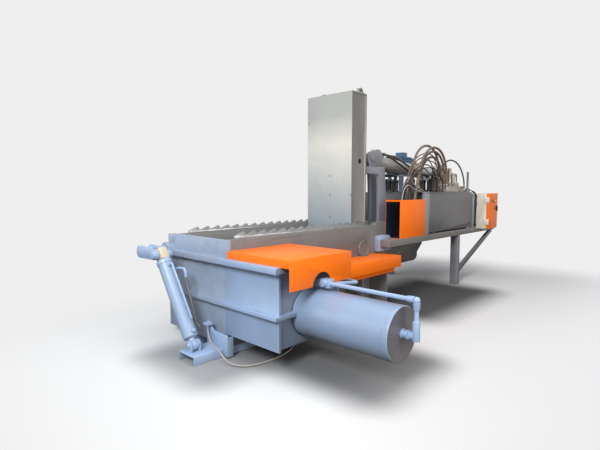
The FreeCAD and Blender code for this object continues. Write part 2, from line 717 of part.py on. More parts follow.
def gate_pin():
    """Hinge pin of the gate in two ears on the far wall."""
    pin = rod(V(gate_x0, gate_pin_y, gate_pin_z), V(730, gate_pin_y, gate_pin_z), gate_pin_r)
    ears = [box(x, x + 26, wall_outer, gate_pin_y + 34, gate_pin_z - 34, gate_pin_z + 34)
            for x in (115, 410, 690)]
    return join(pin, *ears)


def lock_shaft():
    """Lock shaft with the lever pair outside the end wall and a claw past each side of the gate."""
    shaft = rod(V(lock_plane - 78, lock_y, lock_z), V(860, lock_y, lock_z), lock_shaft_r)
    pivot = (lock_y, lock_z)
    pin = (lock_pin.y, lock_pin.z)
    levers = [link_yz(pivot, 60, pin, 44, x, x + 32) for x in (lock_plane - 76, lock_plane + 44)]
    heads = [rod(V(lock_plane - 104, *pin), V(lock_plane - 76, *pin), 36),
             rod(V(lock_plane + 76, *pin), V(lock_plane + 92, *pin), 36)]
    claws = [join(link_yz(pivot, 46, claw_tip, 30, x, x + claw_width),
                  link_yz(claw_tip, 30, claw_nose, 26, x, x + claw_width)) for x in claw_x]
    return join(shaft, *levers, *heads, *claws)


lock_foot = V(lock_plane, lock_foot_y, lock_foot_z)
lock_pin = V(lock_plane, lock_y - lock_arm, lock_z - 9)
lock_axis = (lock_pin - lock_foot).normalize()


def lock_bearings():
    """Two bearing blocks for the lock shaft on the far wall."""
    blocks = []
    for x in (180, 800):
        block = box(x, x + 50, wall_outer, lock_y + 75, gate_pin_z + 45, lock_z + 80)
        blocks.append(block.cut(rod(V(x - 1, lock_y, lock_z), V(x + 51, lock_y, lock_z),
                                    lock_shaft_r + fit)))
    return blocks


def lock_barrel():
    """Barrel of the lock cylinder with its bottom eye, collars and ports."""
    base = lock_foot + lock_axis * 62
    mouth = lock_pin - lock_axis * 64
    length, r = (mouth - base).Length, lock_barrel_r
    outer = turned(base, lock_axis, [(0, r - 10), (8, r), (length - 44, r), (length - 40, r + 6),
                                     (length - 5, r + 6), (length, r)])
    eye = join(rod(lock_foot - V(30, 0, 0), lock_foot + V(30, 0, 0), 46),
               rod(lock_foot + lock_axis * 25, base + lock_axis * 2, 34))
    bore = rod(base + lock_axis * 25, mouth - lock_axis * 45, lock_barrel_r - 12)
    throat = rod(mouth - lock_axis * 46, mouth + lock_axis, lock_rod_r + fit)
    hole = rod(lock_foot - V(40, 0, 0), lock_foot + V(40, 0, 0), 20 + fit)
    side = X.cross(lock_axis)
    ports = []
    for d in (mouth - lock_axis * 78, base + lock_axis * 45):
        ports.append(rod(d + side * (lock_barrel_r - 10), d + side * (lock_barrel_r + 24), 18))
    return join(outer, eye, *ports).cut(bore).cut(throat).cut(hole)


def lock_pipe():
    """Pipe from the upper port down beside the barrel."""
    side = X.cross(lock_axis)
    top = lock_pin - lock_axis * 142 + side * (lock_barrel_r + 24)
    out = top + side * 26
    return bent_pipe([top - side * 4, out, out - lock_axis * 560], 10, 20)


def lock_rod():
    """Rod with a square end block between the levers, and its piston."""
    start = lock_foot + lock_axis * 110
    shaft = rod(start, lock_pin - lock_axis * 40, lock_rod_r)
    piston = rod(start, start + lock_axis * 60, lock_barrel_r - 12 - seat)
    block = box(-41, 41, -52, 52, -56, 56)
    block.Placement = FreeCAD.Placement(lock_pin, FreeCAD.Rotation(Z, lock_axis))
    return join(shaft, piston, block)


def lock_foot_bracket():
    """Clevis on the base channel, its pin, and the gusset plates beside the end wall."""
    cheeks = []
    for x in (lock_plane - 52, lock_plane + 34):
        cheek = join(box(x, x + 18, lock_foot_y - 44, lock_foot_y + 44, chassis_bottom, lock_foot_z),
                     rod(V(x, lock_foot_y, lock_foot_z), V(x + 18, lock_foot_y, lock_foot_z), 44))
        cheeks.append(cheek)
    pin = rod(V(lock_plane - 64, lock_foot_y, lock_foot_z), V(lock_plane + 64, lock_foot_y,
              lock_foot_z), 20)
    return join(*cheeks, pin)


def front_gusset():
    """Gusset and post between the base channel, end wall and side housing."""
    side = -channel_centre - channel_width / 2
    gusset = plate_yz([(-195, chassis_bottom), (side - seat, chassis_bottom), (side - seat, 12),
                       (-500, 12), (-500, 196), (-488, 208), (-300, 212), (-255, 240), (-230, 285),
                       (-195, 285)], -70, -52)
    foot = box(-52, 0, -500, -482, 12, 186)
    shelf = box(-120, -52, -275, -200, 262, 280)
    return join(gusset, foot, shelf)


parts["gate"] = gate()
parts["gate_bearings"] = group([gate_pin()] + lock_bearings())
parts["lock_shaft"] = lock_shaft()
parts["lock_barrel"] = join(lock_barrel(), lock_pipe())
parts["lock_rod"] = lock_rod()
parts["lock_foot"] = group([lock_foot_bracket(), front_gusset()])


# ---------------------------------------------------------------- platform
def platform_beams():
    """Two rectangular hollow beams with closed ends, and the cross members between them."""
    beams = []
    for s in (-1, 1):
        y0 = beam_outer if s < 0 else -beam_outer - beam_width
        beam = box(beam_x0, beam_x1, y0, y0 + beam_width, beam_bottom, beam_top)
        beams.append(beam.cut(box(beam_x0 + 8, beam_x1 - 8, y0 + 8, y0 + beam_width - 8,
                                  beam_bottom + 8, beam_top - 8)))
    inner = -beam_outer - beam_width
    cross = [box(x, x + 100, -inner, inner, beam_bottom, beam_top)
             for x in (3060, 3620, leg_x - 10, lid_tail_x - 200, lid_tail_x + 100, beam_x1 - 100)]
    return join(*beams, *cross)


def beam_brackets():
    """Plate lugs with rounded upper corners that carry the beams on the chamber walls."""
    lug = box(lug_x0, lug_x0 + lug_length, beam_outer + beam_width, -wall_outer, beam_bottom - lug_low,
              beam_top + lug_high)
    corners = [e for e in lug.Edges if abs(e.tangentAt(e.FirstParameter).y) > 0.9
               and e.CenterOfMass.z > beam_top]
    lug = lug.makeFillet(lug_corner, corners)
    return group([lug, mirror_y(lug)])


def legs():
    """Rear leg with its foot pad, near side."""
    leg = box(leg_x, leg_x + leg_depth, beam_outer + 5, beam_outer + beam_width - 5, 12, beam_bottom)
    pad = box(leg_x - 15, leg_x + leg_depth + 15, beam_outer, beam_outer + beam_width, 0, 12)
    return join(leg, pad)


def braces():
    """Diagonal brace from the leg up to the beam's end, near side."""
    x0, x1 = leg_x + leg_depth, beam_x1
    brace = plate_xz([(x0, 150), (x1, beam_bottom - 40), (x1, beam_bottom), (x1 - 60, beam_bottom),
                      (x0, 220)], beam_outer + 35, beam_outer + 85)
    return brace


def rear_gussets():
    """Sloping side plates behind the chamber with a cradle for the main cylinder."""
    outline = [(chamber_length, 480), (3340, 480), (3610, 690), (3610, beam_bottom),
               (chamber_length, beam_bottom)]
    near = plate_xz(outline, -400, -380)
    tie = box(3180, 3230, -380, 380, beam_bottom - 90, beam_bottom)
    cradle = box(3180, 3204, -380, 380, 480, beam_bottom - 90)
    cradle = cradle.cut(rod(V(3100, 0, main_axis_z), V(3300, 0, main_axis_z), main_barrel_r + seat))
    return join(near, mirror_y(near), tie, cradle)


parts["platform_beams"] = platform_beams()
parts["beam_brackets"] = beam_brackets()
parts["rear_legs"] = group([join(legs(), braces()), mirror_y(join(legs(), braces()))])
parts["rear_gussets"] = rear_gussets()


# ---------------------------------------------------------------- power pack
def pack_guard():
    """Folded guard round the dropping hoses: near and far sheets, a tray, open at its front end
    but for a rim along the top."""
    x0, y0, t = guard_x0, beam_outer, cover_sheet
    tray_x1 = hose_bar_x0 - 5
    near = box(x0, post_x0, y0, y0 + t, beam_top, guard_z1)
    far = box(x0, tray_x1, guard_y1 - t, guard_y1, beam_top, guard_z1)
    tray = box(x0, tray_x1, y0, guard_y1, beam_top, beam_top + t)
    rim = box(x0, x0 + t, y0, guard_y1, guard_z1 - 22, guard_z1)
    folds = [box(x0, x1, y, y + 22, guard_z1 - t, guard_z1)
             for x1, y in ((post_x0, y0), (tray_x1, guard_y1 - 22))]
    return join(near, far, tray, rim, *folds)


def pack_posts():
    """Square posts beside the tank, and the guard's."""
    y0 = beam_outer
    tall = box(post_x0, post_x1, y0, y0 + 60, beam_top, tank_z1)
    far = box(post_x0, post_x1, -y0 - 60, -y0, beam_top, tank_z1)
    return [tall, far]


def tank():
    """Oil tank with rounded upright corners, on two bearers."""
    body = box(tank_x0, tank_x1, beam_outer, tank_y1, tank_z0, tank_z1)
    upright = [e for e in body.Edges if e.Length > 500 and abs(e.tangentAt(e.FirstParameter).z) > 0.9]
    body = body.makeFillet(20, upright)
    bearers = [box(x, x + 60, beam_outer + 20, tank_y1 - 20, beam_top, tank_z0)
               for x in (tank_x0 + 120, tank_x1 - 180)]
    drain = rod(V(tank_x1 - 90, beam_outer + 1, tank_z0 + 70), V(tank_x1 - 90, beam_outer - 30,
                tank_z0 + 70), 16)
    return join(body, *bearers, drain)


def tank_lid():
    """Bolted tank cover with a round access cover on it."""
    plate = box(tank_x0 - 6, tank_x1 + 6, beam_outer - 6, tank_y1 + 6, tank_z1, tank_z1 + 12)
    hatch = rod(V(3560, 300, tank_z1 + 12), V(3560, 300, tank_z1 + 30), 150)
    bolts = [hex_bolt(V(3560 + 130 * math.cos(a), 300 + 130 * math.sin(a), tank_z1 + 30), Z, 19, 10)
             for a in [k * math.pi / 3 for k in range(6)]]
    return join(plate, hatch, *bolts)


deck = tank_z1 + 12
motor_y, motor_z, motor_r = 400.0, 1900.0, 160.0
motor_x0, motor_x1 = 4110.0, 4560.0


def motor_stand():
    """Welded stand that lifts the motor above the tank."""
    top = motor_z - motor_r - 20
    legs_ = [box(x, x + 50, y, y + 50, deck, top) for x in (motor_x0 + 20, motor_x1 - 70)
             for y in (motor_y - 140, motor_y + 90)]
    plate = box(motor_x0, motor_x1 + 60, motor_y - 160, motor_y + 160, top, top + 15)
    return join(plate, *legs_)


def motor():
    """Electric motor: finned frame, end flange, feet and terminal box."""
    body = rod(V(motor_x0, motor_y, motor_z), V(motor_x1, motor_y, motor_z), motor_r - 18)
    fins = []
    for k in range(24):
        fin = box(motor_x0 + 30, motor_x1 - 40, motor_y - 3, motor_y + 3, motor_z + motor_r - 26,
                  motor_z + motor_r - 2)
        fin.rotate(V(0, motor_y, motor_z), X, k * 15)
        fins.append(fin)
    flange = join(rod(V(motor_x1 - 30, motor_y, motor_z), V(motor_x1, motor_y, motor_z), motor_r),
                  rod(V(motor_x0, motor_y, motor_z), V(motor_x0 + 26, motor_y, motor_z), motor_r))
    foot_z = motor_z - motor_r - 5
    feet = [box(x, x + 70, motor_y - 130, motor_y + 130, foot_z, motor_z - motor_r + 40)
            for x in (motor_x0 + 40, motor_x1 - 120)]
    terminal = box(motor_x0 + 150, motor_x0 + 290, motor_y - 70, motor_y + 70, motor_z + motor_r - 30,
                   motor_z + motor_r + 60)
    return join(body, flange, terminal, *fins, *feet)


def fan_cover():
    """Fan cowl with a ring of air slots in its end."""
    x0 = motor_x0 - 110
    shell = rod(V(x0, motor_y, motor_z), V(motor_x0, motor_y, motor_z), motor_r)
    hollow = rod(V(x0 + 6, motor_y, motor_z), V(motor_x0 + 1, motor_y, motor_z), motor_r - 6)
    slots = []
    for k in range(12):
        slot = box(x0 - 1, x0 + 7, motor_y - 7, motor_y + 7, motor_z + 50, motor_z + 120)
        slot.rotate(V(0, motor_y, motor_z), X, k * 30)
        slots.append(slot)
    return shell.cut(hollow).cut(group(slots))


def pump():
    """Bell housing and pump with two ports."""
    body = turned(V(motor_x1, motor_y, motor_z), X,
                  [(0, 125), (18, 125), (24, 112), (112, 84), (130, 84), (130, 100), (155, 100),
                   (155, 75), (290, 75), (300, 64)])
    ports = [rod(V(motor_x1 + 230, motor_y, motor_z), V(motor_x1 + 230, motor_y, motor_z + s * 105), 30)
             for s in (-1, 1)]
    return join(body, *ports)


def charge_pump():
    """Small gear pump on a bracket, its ringed end towards the lid."""
    y, z = -380, deck + 238
    body = rod(V(3790, y, z), V(3960, y, z), 58)
    ring = rod(V(3770, y, z), V(3790, y, z), 66).cut(rod(V(3765, y, z), V(3780, y, z), 46))
    foot = box(3840, 3920, y - 45, y + 45, deck, z - 40)
    return join(body, ring, foot)


def manifold():
    """Valve manifold blocks on the tank cover."""
    low = box(3960, 4700, -590, -210, deck, deck + 40)
    high = box(4004, 4660, -560, -260, deck + 40, deck + 95)
    ports = [rod(V(3984, y, deck + 40), V(3984, y, deck + 60), 16) for y in (-585, -545, -505, -465)]
    ports.append(rod(V(4683, -560, deck + 40), V(4683, -560, deck + 60), 17))
    return join(low, high, *ports)


valve_x = [4060.0, 4215.0, 4370.0, 4525.0]


def valve_stack(x, height):
    """Stack of sandwich plates with a cap and a solenoid on each side."""
    z0 = deck + 95
    plates = [box(x - 40, x + 40, -450, -370, z0 + k * 62, z0 + k * 62 + 58) for k in range(height)]
    core = box(x - 34, x + 34, -444, -376, z0, z0 + height * 62)
    top = z0 + height * 62
    cap = rod(V(x, -410, top - 6), V(x, -410, top + 44), 27)
    coils = [rod(V(x, y0, z0 + 30), V(x, y0 + 80, z0 + 30), 26) for y0 in (-530, -370)]
    return join(core, *plates, cap, *coils)


def valves():
    """Four valve stacks of uneven height."""
    return [valve_stack(x, h) for x, h in zip(valve_x, (4, 3, 4, 2))]


def gauge():
    """Pressure gauge on a stem beside the valves."""
    stem = rod(V(4600, -300, deck + 95), V(4600, -300, deck + 170), 9)
    case = rod(V(4600, -325, deck + 205), V(4600, -275, deck + 205), 36)
    return join(stem, case)


def breather():
    """Filler neck with its filter stem."""
    return turned(V(tank_x1 - 36, beam_outer + 65, deck), Z, [(0, 38), (46, 38), (60, 26), (60, 17), (322, 17), (330, 10)])


parts["pack_guard"] = pack_guard()
parts["oil_tank"] = tank()
parts["tank_cover"] = join(tank_lid(), breather())
parts["motor_stand"] = motor_stand()
parts["motor"] = motor()
parts["motor_fan_cover"] = fan_cover()
parts["main_pump"] = pump()
parts["charge_pump"] = charge_pump()
parts["manifold"] = manifold()
parts["valve_stacks"] = group(valves() + [gauge()])


# ---------------------------------------------------------------- electric cabinet
door_thick = 26.0
door_y1 = cabinet_y0 + door_thick


def cabinet():
    """Sheet cabinet, open to its door, with a back plate inside."""
    body = box(cabinet_x0, cabinet_x1, door_y1 + 3, cabinet_y1, cabinet_z0, cabinet_z1)
    hollow = box(cabinet_x0 + 4, cabinet_x1 - 4, door_y1, cabinet_y1 - 4, cabinet_z0 + 4,
                 cabinet_z1 - 4)
    gear = [box(cabinet_x0 + 60, cabinet_x1 - 60, cabinet_y1 - 60, cabinet_y1 - 4, z, z + 90)
            for z in (cabinet_z0 + 100, cabinet_z0 + 260, cabinet_z0 + 420)]
    return join(body.cut(hollow), *gear)


def cabinet_door():
    """Door tray with rounded corners and holes for its controls."""
    door = box(cabinet_x0, cabinet_x1, cabinet_y0, door_y1, cabinet_z0, cabinet_z1)
    edges = [e for e in door.Edges if abs(e.Length - door_thick) < 0.01]
    door = door.makeFillet(14, edges)
    door = door.cut(box(cabinet_x0 + 5, cabinet_x1 - 5, cabinet_y0 + 5, door_y1 + 1, cabinet_z0 + 5,
                        cabinet_z1 - 5))
    holes = [rod(V(x, cabinet_y0 - 1, z), V(x, cabinet_y0 + 7, z), r + fit)
             for x, z, r in [(latch_x, latch_z, 11)] + [(b, button_z, 11) for b in button_x]]
    knuckles = [tube(V(cabinet_x0 + 11, cabinet_y0 - 9, z), V(cabinet_x0 + 11, cabinet_y0 - 9, z + 60),
                     9, 4 + fit) for z in (cabinet_z0 + 80, cabinet_z1 - 140)]
    return join(door.cut(group(holes)), *knuckles)


latch_x, latch_z = cabinet_x1 - 70.0, 1180.0
button_x = [5120.0, 5180.0, 5240.0]
button_z = 1300.0


def hinge_pins():
    """Hinge pins of the door, each bent back to the cabinet's side."""
    pins = []
    for z in (cabinet_z0 + 80, cabinet_z1 - 140):
        pin = rod(V(cabinet_x0 + 11, cabinet_y0 - 9, z - 12), V(cabinet_x0 + 11, cabinet_y0 - 9, z + 72), 4)
        arms = [box(cabinet_x0 - 6, cabinet_x0 + 12, cabinet_y0 - 14, cabinet_y0 - 4, z + s - 6, z + s)
                for s in (-6, 78)]
        plate = box(cabinet_x0 - 6, cabinet_x0, cabinet_y0 - 14, cabinet_y0 + 70, z - 12, z + 78)
        pins.append(join(pin, plate, *arms))
    return pins


def door_latch():
    """Quarter-turn latch with a wing handle."""
    stem = rod(V(latch_x, cabinet_y0 - 8, latch_z), V(latch_x, cabinet_y0 + 18, latch_z), 11)
    wing = box(latch_x - 9, latch_x + 9, cabinet_y0 - 30, cabinet_y0 - 8, latch_z - 45, latch_z + 45)
    cam = box(latch_x - 5, latch_x + 34, cabinet_y0 + 12, cabinet_y0 + 17, latch_z - 8, latch_z + 8)
    collar = rod(V(latch_x, cabinet_y0 - 8, latch_z), V(latch_x, cabinet_y0 - 0.3, latch_z), 20)
    return join(stem, wing, cam, collar)


def button(x):
    """Push button with its collar inside the door and travel to the panel."""
    cap = rod(V(x, cabinet_y0 - 14, button_z), V(x, cabinet_y0 - 5, button_z), 16)
    stem = rod(V(x, cabinet_y0 - 5, button_z), V(x, cabinet_y0 + 12, button_z), 11)
    stop = rod(V(x, cabinet_y0 + 5.3, button_z), V(x, cabinet_y0 + 12, button_z), 15)
    return join(cap, stem, stop)


def cabinet_bracket():
    """Post on the beam with two arms that hold the cabinet."""
    x0, x1 = cabinet_x0 - 110, cabinet_x0 - 70
    post = box(x0, x1, beam_outer, beam_outer + 60, beam_top, cabinet_z1)
    arms = [box(x1, cabinet_x0, beam_outer, beam_outer + 40, z, z + 40)
            for z in (cabinet_z0 + 90, cabinet_z1 - 110)]
    shelf = box(cabinet_x0, cabinet_x0 + 250, beam_outer, beam_outer + 40, beam_top, cabinet_z1 - 60)
    return join(post, *arms, shelf)


parts["pack_posts"] = group(pack_posts() + [cabinet_bracket()])
parts["cabinet"] = join(cabinet(), *hinge_pins())
parts["cabinet_door"] = cabinet_door()
parts["door_latch"] = door_latch()
for name, x in zip(("start_button", "stop_button", "jog_button"), button_x):
    parts[name] = button(x)


# ---------------------------------------------------------------- fixed pipework
pipe_x, pipe_z = side_axis_x, 722.0
pipe_end_y = -2072.0
pipe_start_y = -1250.0
port_z = 460.0


def side_pipe():
    """Feed pipe of the side cylinder: port block, long run, elbow, drop and cap nipple."""
    run = bent_pipe([V(pipe_x, pipe_start_y - 40, pipe_z), V(pipe_x, pipe_end_y, pipe_z),
                     V(pipe_x, pipe_end_y, port_z + 40)], 17, 45)
    elbow = rod(V(pipe_x, pipe_end_y, port_z + 110), V(pipe_x, pipe_end_y, port_z - 32), 27)
    nipple = rod(V(pipe_x, pipe_end_y, port_z), V(pipe_x, side_cap_y, port_z), 24)
    rings = [rod(V(pipe_x, y, port_z), V(pipe_x, y + 16, port_z), 33)
             for y in (side_cap_y - 20, side_cap_y - 48)]
    return join(run, elbow, nipple, *rings)


def port_block():
    """Square port block in front of the cover's notch, on a bar from the housing."""
    y0, y1 = pipe_start_y - 45, pipe_start_y + 45
    block = box(pipe_x - 32, pipe_x + 40, y0, y1, pipe_z - 34, pipe_z + 38)
    port = rod(V(pipe_x - 32, pipe_start_y, pipe_z + 6), V(pipe_x - 62, pipe_start_y, pipe_z + 6), 26)
    seat_bar = box(pipe_x - 24, pipe_x + 30, y1, housing_outer, pipe_z - 28, pipe_z + 28)
    return join(block, port, seat_bar)


def feed_pipe():
    """Pipe from the port block past the cover to the ledge."""
    points = [V(pipe_x + 40, pipe_start_y - 15, pipe_z - 12), V(ledge_x0 + 60, pipe_start_y - 15, pipe_z - 57),
              V(ledge_x0 + 60, ledge_y0, pipe_z - 57)]
    return bent_pipe(points, 17, 60)


parts["side_feed_pipe"] = join(side_pipe(), port_block(), feed_pipe())


# ---------------------------------------------------------------- hoses
def hose(route, diameter, name):
    """Hose of straight runs joined by tangent arcs as large as the runs allow."""
    points = [V(*p) for p in route]
    radii, edges, start = [], [], points[0]
    for a, b, c in zip(points, points[1:], points[2:]):
        into, out = (b - a).normalize(), (c - b).normalize()
        half_turn = into.getAngle(out) / 2
        back = 0.45 * min((b - a).Length, (c - b).Length)
        radius = back / math.tan(half_turn)
        radii.append(radius)
        mid = b + (out - into).normalize() * (radius / math.cos(half_turn) - radius)
        p, q = b - into * back, b + out * back
        edges += [Part.LineSegment(start, p).toShape(), Part.Arc(p, mid, q).toShape()]
        start = q
    edges.append(Part.LineSegment(start, points[-1]).toShape())
    wire = Part.Wire(edges)
    ring = Part.Wire(Part.Circle(points[0], points[1] - points[0], diameter / 2).toShape())
    solid = wire.makePipeShell([ring], True, False)
    section = math.pi * diameter ** 2 / 4 * wire.Length
    print(f"{name}: length {wire.Length:.0f}, least radius {min(radii):.0f} ({min(radii) / diameter:.1f} d),"
          f" volume over section times length {solid.Volume / section:.4f}")
    return solid


hose_d = 34.0
lid_hose_d = 28.0
valve_hose_d = 23.0
thin_hose_d = 16.0

hose_routes = {
    "lock_hose": (thin_hose_d, [
        (-100, -250, 262), (-100, -250, 215), (-104, -272, 165),
        (-113, -315, 128), (-124, -362, 115),
        (-138, -458, 98), (-149, -552, 52), (-142, -645, 15), (-92, -742, 11), (5, -795, 11),
        (145, -815, 11), (300, -806, 11), (440, -772, 12), (562, -712, 20), (645, -660, 42),
        (695, -628, 68), (712, -616, 112), (712, -616, 150)]),
    "lid_hose_a": (lid_hose_d, [
        (2830.5, -49, 2021.7), (2930.1, -49, 2013.5), (3060, -84, 1990), (3190, -130, 1935),
        (3330, -158, 1868), (3480, -166, 1806), (3620, -156, 1764), (3740, -137, 1744.5),
        (3840.9, -129.9, 1732.3), (3940.6, -129.9, 1724.1)]),
    "lid_hose_b": (lid_hose_d, [
        (3099.5, -49, 1999.6), (3199.2, -49, 1991.4), (3320, -80, 1968), (3440, -122, 1922),
        (3560, -148, 1863), (3680, -150, 1820.6), (3791.1, -150, 1811.4)]),
    "arch_hose_1": (hose_d, [
        (3984, -585, 1512), (3984, -585, 1700), (3940, -587, 1880), (3820, -588, 2030),
        (3640, -587, 2102), (3440, -586, 2080), (3270, -586, 1970), (3160, -587, 1800),
        (3090, -588, 1600), (3030, -588, 1400), (2980, -587, 1200), (2960, -585, 1030),
        (2960, -585, 900)]),
    "arch_hose_2": (hose_d, [
        (3984, -545, 1512), (3984, -545, 1680), (3950, -546, 1850), (3850, -547, 1980),
        (3690, -546, 2050), (3510, -546, 2030), (3350, -546, 1935), (3240, -546, 1780),
        (3165, -547, 1590), (3110, -547, 1390), (3070, -546, 1190), (3055, -545, 1030),
        (3055, -545, 900)]),
    "arch_hose_3": (hose_d, [
        (3984, -505, 1512), (3984, -505, 1665), (3955, -503, 1815), (3860, -501, 1925),
        (3715, -500, 1975), (3555, -501, 1955), (3420, -502, 1865), (3325, -503, 1720),
        (3255, -504, 1545), (3195, -505, 1360), (3145, -505, 1180), (3125, -505, 1030),
        (3125, -505, 900)]),
    "arch_hose_4": (hose_d, [
        (3984, -465, 1512), (3984, -465, 1710), (3950, -466, 1900), (3830, -466, 2060),
        (3640, -465, 2140), (3430, -464, 2110), (3260, -464, 1990), (3170, -465, 1810),
        (3130, -466, 1610), (3100, -466, 1400), (3040, -466, 1200), (3010, -465, 1030),
        (3010, -465, 900)]),
    "valve_hose": (valve_hose_d, [
        (4215, -410, 1777), (4215, -410, 1850), (4262, -428, 1922), (4352, -454, 1962),
        (4462, -486, 1950), (4562, -515, 1888), (4632, -538, 1788), (4670, -552, 1672),
        (4683, -560, 1580), (4683, -560, 1512)]),
}


def hose_seats():
    """Bulkhead bar for the dropping hoses and the fittings that all hoses end on."""
    top = beam_top + 23
    bar = box(hose_bar_x0, hose_bar_x1, -610, -448, beam_top, top)
    ends = [rod(V(hose_routes[f"arch_hose_{k}"][1][-1][0], y, top),
                V(hose_routes[f"arch_hose_{k}"][1][-1][0], y, top + 12), 16)
            for k, y in ((1, -585), (2, -545), (3, -505), (4, -465))]
    return join(bar, *ends)


for name, (diameter, route) in hose_routes.items():
    parts[name] = hose(route, diameter, name)
parts["platform_beams"] = join(platform_beams(), hose_seats())


# ---------------------------------------------------------------- write the pieces
os.makedirs("parts", exist_ok=True)
for name, shape in parts.items():
    shape.exportStep(f"parts/{name}.step")
print(len(parts), "pieces,", round(sum(p.Volume for p in parts.values()) / 1e9, 3), "cubic metres")
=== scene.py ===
"""Three-ram scrap baling press: the looks of every piece, in metres, in the frame of its CAD solids."""
import bpy
import json
import math
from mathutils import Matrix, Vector

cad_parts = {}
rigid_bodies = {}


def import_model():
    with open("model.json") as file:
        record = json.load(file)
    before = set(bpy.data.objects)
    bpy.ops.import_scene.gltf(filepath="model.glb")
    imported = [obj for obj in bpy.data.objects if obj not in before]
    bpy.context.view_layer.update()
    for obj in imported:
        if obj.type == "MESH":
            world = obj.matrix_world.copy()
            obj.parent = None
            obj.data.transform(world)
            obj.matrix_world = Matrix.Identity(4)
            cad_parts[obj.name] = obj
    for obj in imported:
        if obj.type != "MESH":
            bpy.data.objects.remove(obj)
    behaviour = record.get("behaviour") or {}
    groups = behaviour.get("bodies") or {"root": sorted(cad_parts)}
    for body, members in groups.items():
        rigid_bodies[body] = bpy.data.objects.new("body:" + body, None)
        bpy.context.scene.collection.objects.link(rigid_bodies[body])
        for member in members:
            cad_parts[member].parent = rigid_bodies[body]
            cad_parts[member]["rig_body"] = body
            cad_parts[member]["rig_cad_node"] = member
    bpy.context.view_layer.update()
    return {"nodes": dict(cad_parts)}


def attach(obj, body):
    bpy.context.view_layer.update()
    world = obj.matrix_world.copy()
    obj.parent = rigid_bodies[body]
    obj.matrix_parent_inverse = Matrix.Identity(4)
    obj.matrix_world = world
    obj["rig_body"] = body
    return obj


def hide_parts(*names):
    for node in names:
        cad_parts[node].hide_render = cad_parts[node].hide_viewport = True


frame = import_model()

# ------------------------------ camera, studio and lamps
# The eye stands in front of the end wall, 1.5 m over the floor, and looks along the press.
# A pale floor runs into a pale backdrop, and broad lamps light it from above and from the left.
eye = Vector((-2.35, -3.555, 1.5))
looking = Vector((0.7223, 0.6868, -0.0817))
camera_data = bpy.data.cameras.new("camera")
camera_data.lens = 26.243
camera_data.sensor_width = 36.0
camera_data.clip_end = 200.0
camera = bpy.data.objects.new("camera", camera_data)
camera.location = eye
camera.rotation_mode = "QUATERNION"
camera.rotation_quaternion = looking.to_track_quat("-Z", "Y")
bpy.context.scene.collection.objects.link(camera)
bpy.context.scene.camera = camera
bpy.context.scene.view_settings.view_transform = "Standard"


def pick(obj):
    """Leaves only this object selected and active, in object mode."""
    if bpy.context.object is not None and bpy.context.object.mode != "OBJECT":
        bpy.ops.object.mode_set(mode="OBJECT")
    bpy.ops.object.select_all(action="DESELECT")
    if obj is not None:
        obj.select_set(True)
        bpy.context.view_layer.objects.active = obj


def plain_material(name, colour, roughness):
    """Principled material with even values, not metal."""
    material = bpy.data.materials.new(name)
    material.use_nodes = True
    shader = material.node_tree.nodes["Principled BSDF"]
    shader.inputs["Base Color"].default_value = (*colour, 1.0)
    shader.inputs["Roughness"].default_value = roughness
    return material


def level(tree, value, low, high, first=0.0, last=1.0):
    """Value between two levels, carried to the range from first to last and held there."""
    ramp = tree.nodes.new("ShaderNodeMapRange")
    for label, number in (("From Min", low), ("From Max", high), ("To Min", first), ("To Max", last)):
        ramp.inputs[label].default_value = number
    tree.links.new(value, ramp.inputs["Value"])
    return ramp.outputs["Result"]


def maths(tree, operation, first, second):
    """Result of one operation on a value and on a number or a second value."""
    node = tree.nodes.new("ShaderNodeMath")
    node.operation = operation
    tree.links.new(first, node.inputs[0])
    if isinstance(second, float):
        node.inputs[1].default_value = second
    else:
        tree.links.new(second, node.inputs[1])
    return node.outputs[0]


def two_colours(tree, mask, first, second):
    """Colour that goes from the first to the second as the mask rises."""
    mix = tree.nodes.new("ShaderNodeMix")
    mix.data_type = "RGBA"
    tree.links.new(mask, mix.inputs["Factor"])
    for socket, value in ((mix.inputs["A"], first), (mix.inputs["B"], second)):
        if isinstance(value, tuple):
            socket.default_value = value
        else:
            tree.links.new(value, socket)
    return mix.outputs["Result"]


def soft_patch(tree, place, centre, half, fade):
    """Level that is 0 inside a rectangle on the floor and rises to 1 over a fade round it."""
    shift = tree.nodes.new("ShaderNodeMapping")
    shift.inputs["Location"].default_value = (-centre[0], -centre[1], 0.0)
    tree.links.new(place, shift.inputs["Vector"])
    steps = [("ABSOLUTE", (0.0, 0.0, 0.0)), ("SUBTRACT", (*half, 1.0)), ("MAXIMUM", (0.0, 0.0, 0.0))]
    vector = shift.outputs["Vector"]
    for operation, second in steps:
        node = tree.nodes.new("ShaderNodeVectorMath")
        node.operation = operation
        tree.links.new(vector, node.inputs[0])
        node.inputs[1].default_value = second
        vector = node.outputs["Vector"]
    length = tree.nodes.new("ShaderNodeVectorMath")
    length.operation = "LENGTH"
    tree.links.new(vector, length.inputs[0])
    ramp = level(tree, length.outputs["Value"], 0.0, fade)
    ramp.node.interpolation_type = "SMOOTHSTEP"
    return ramp


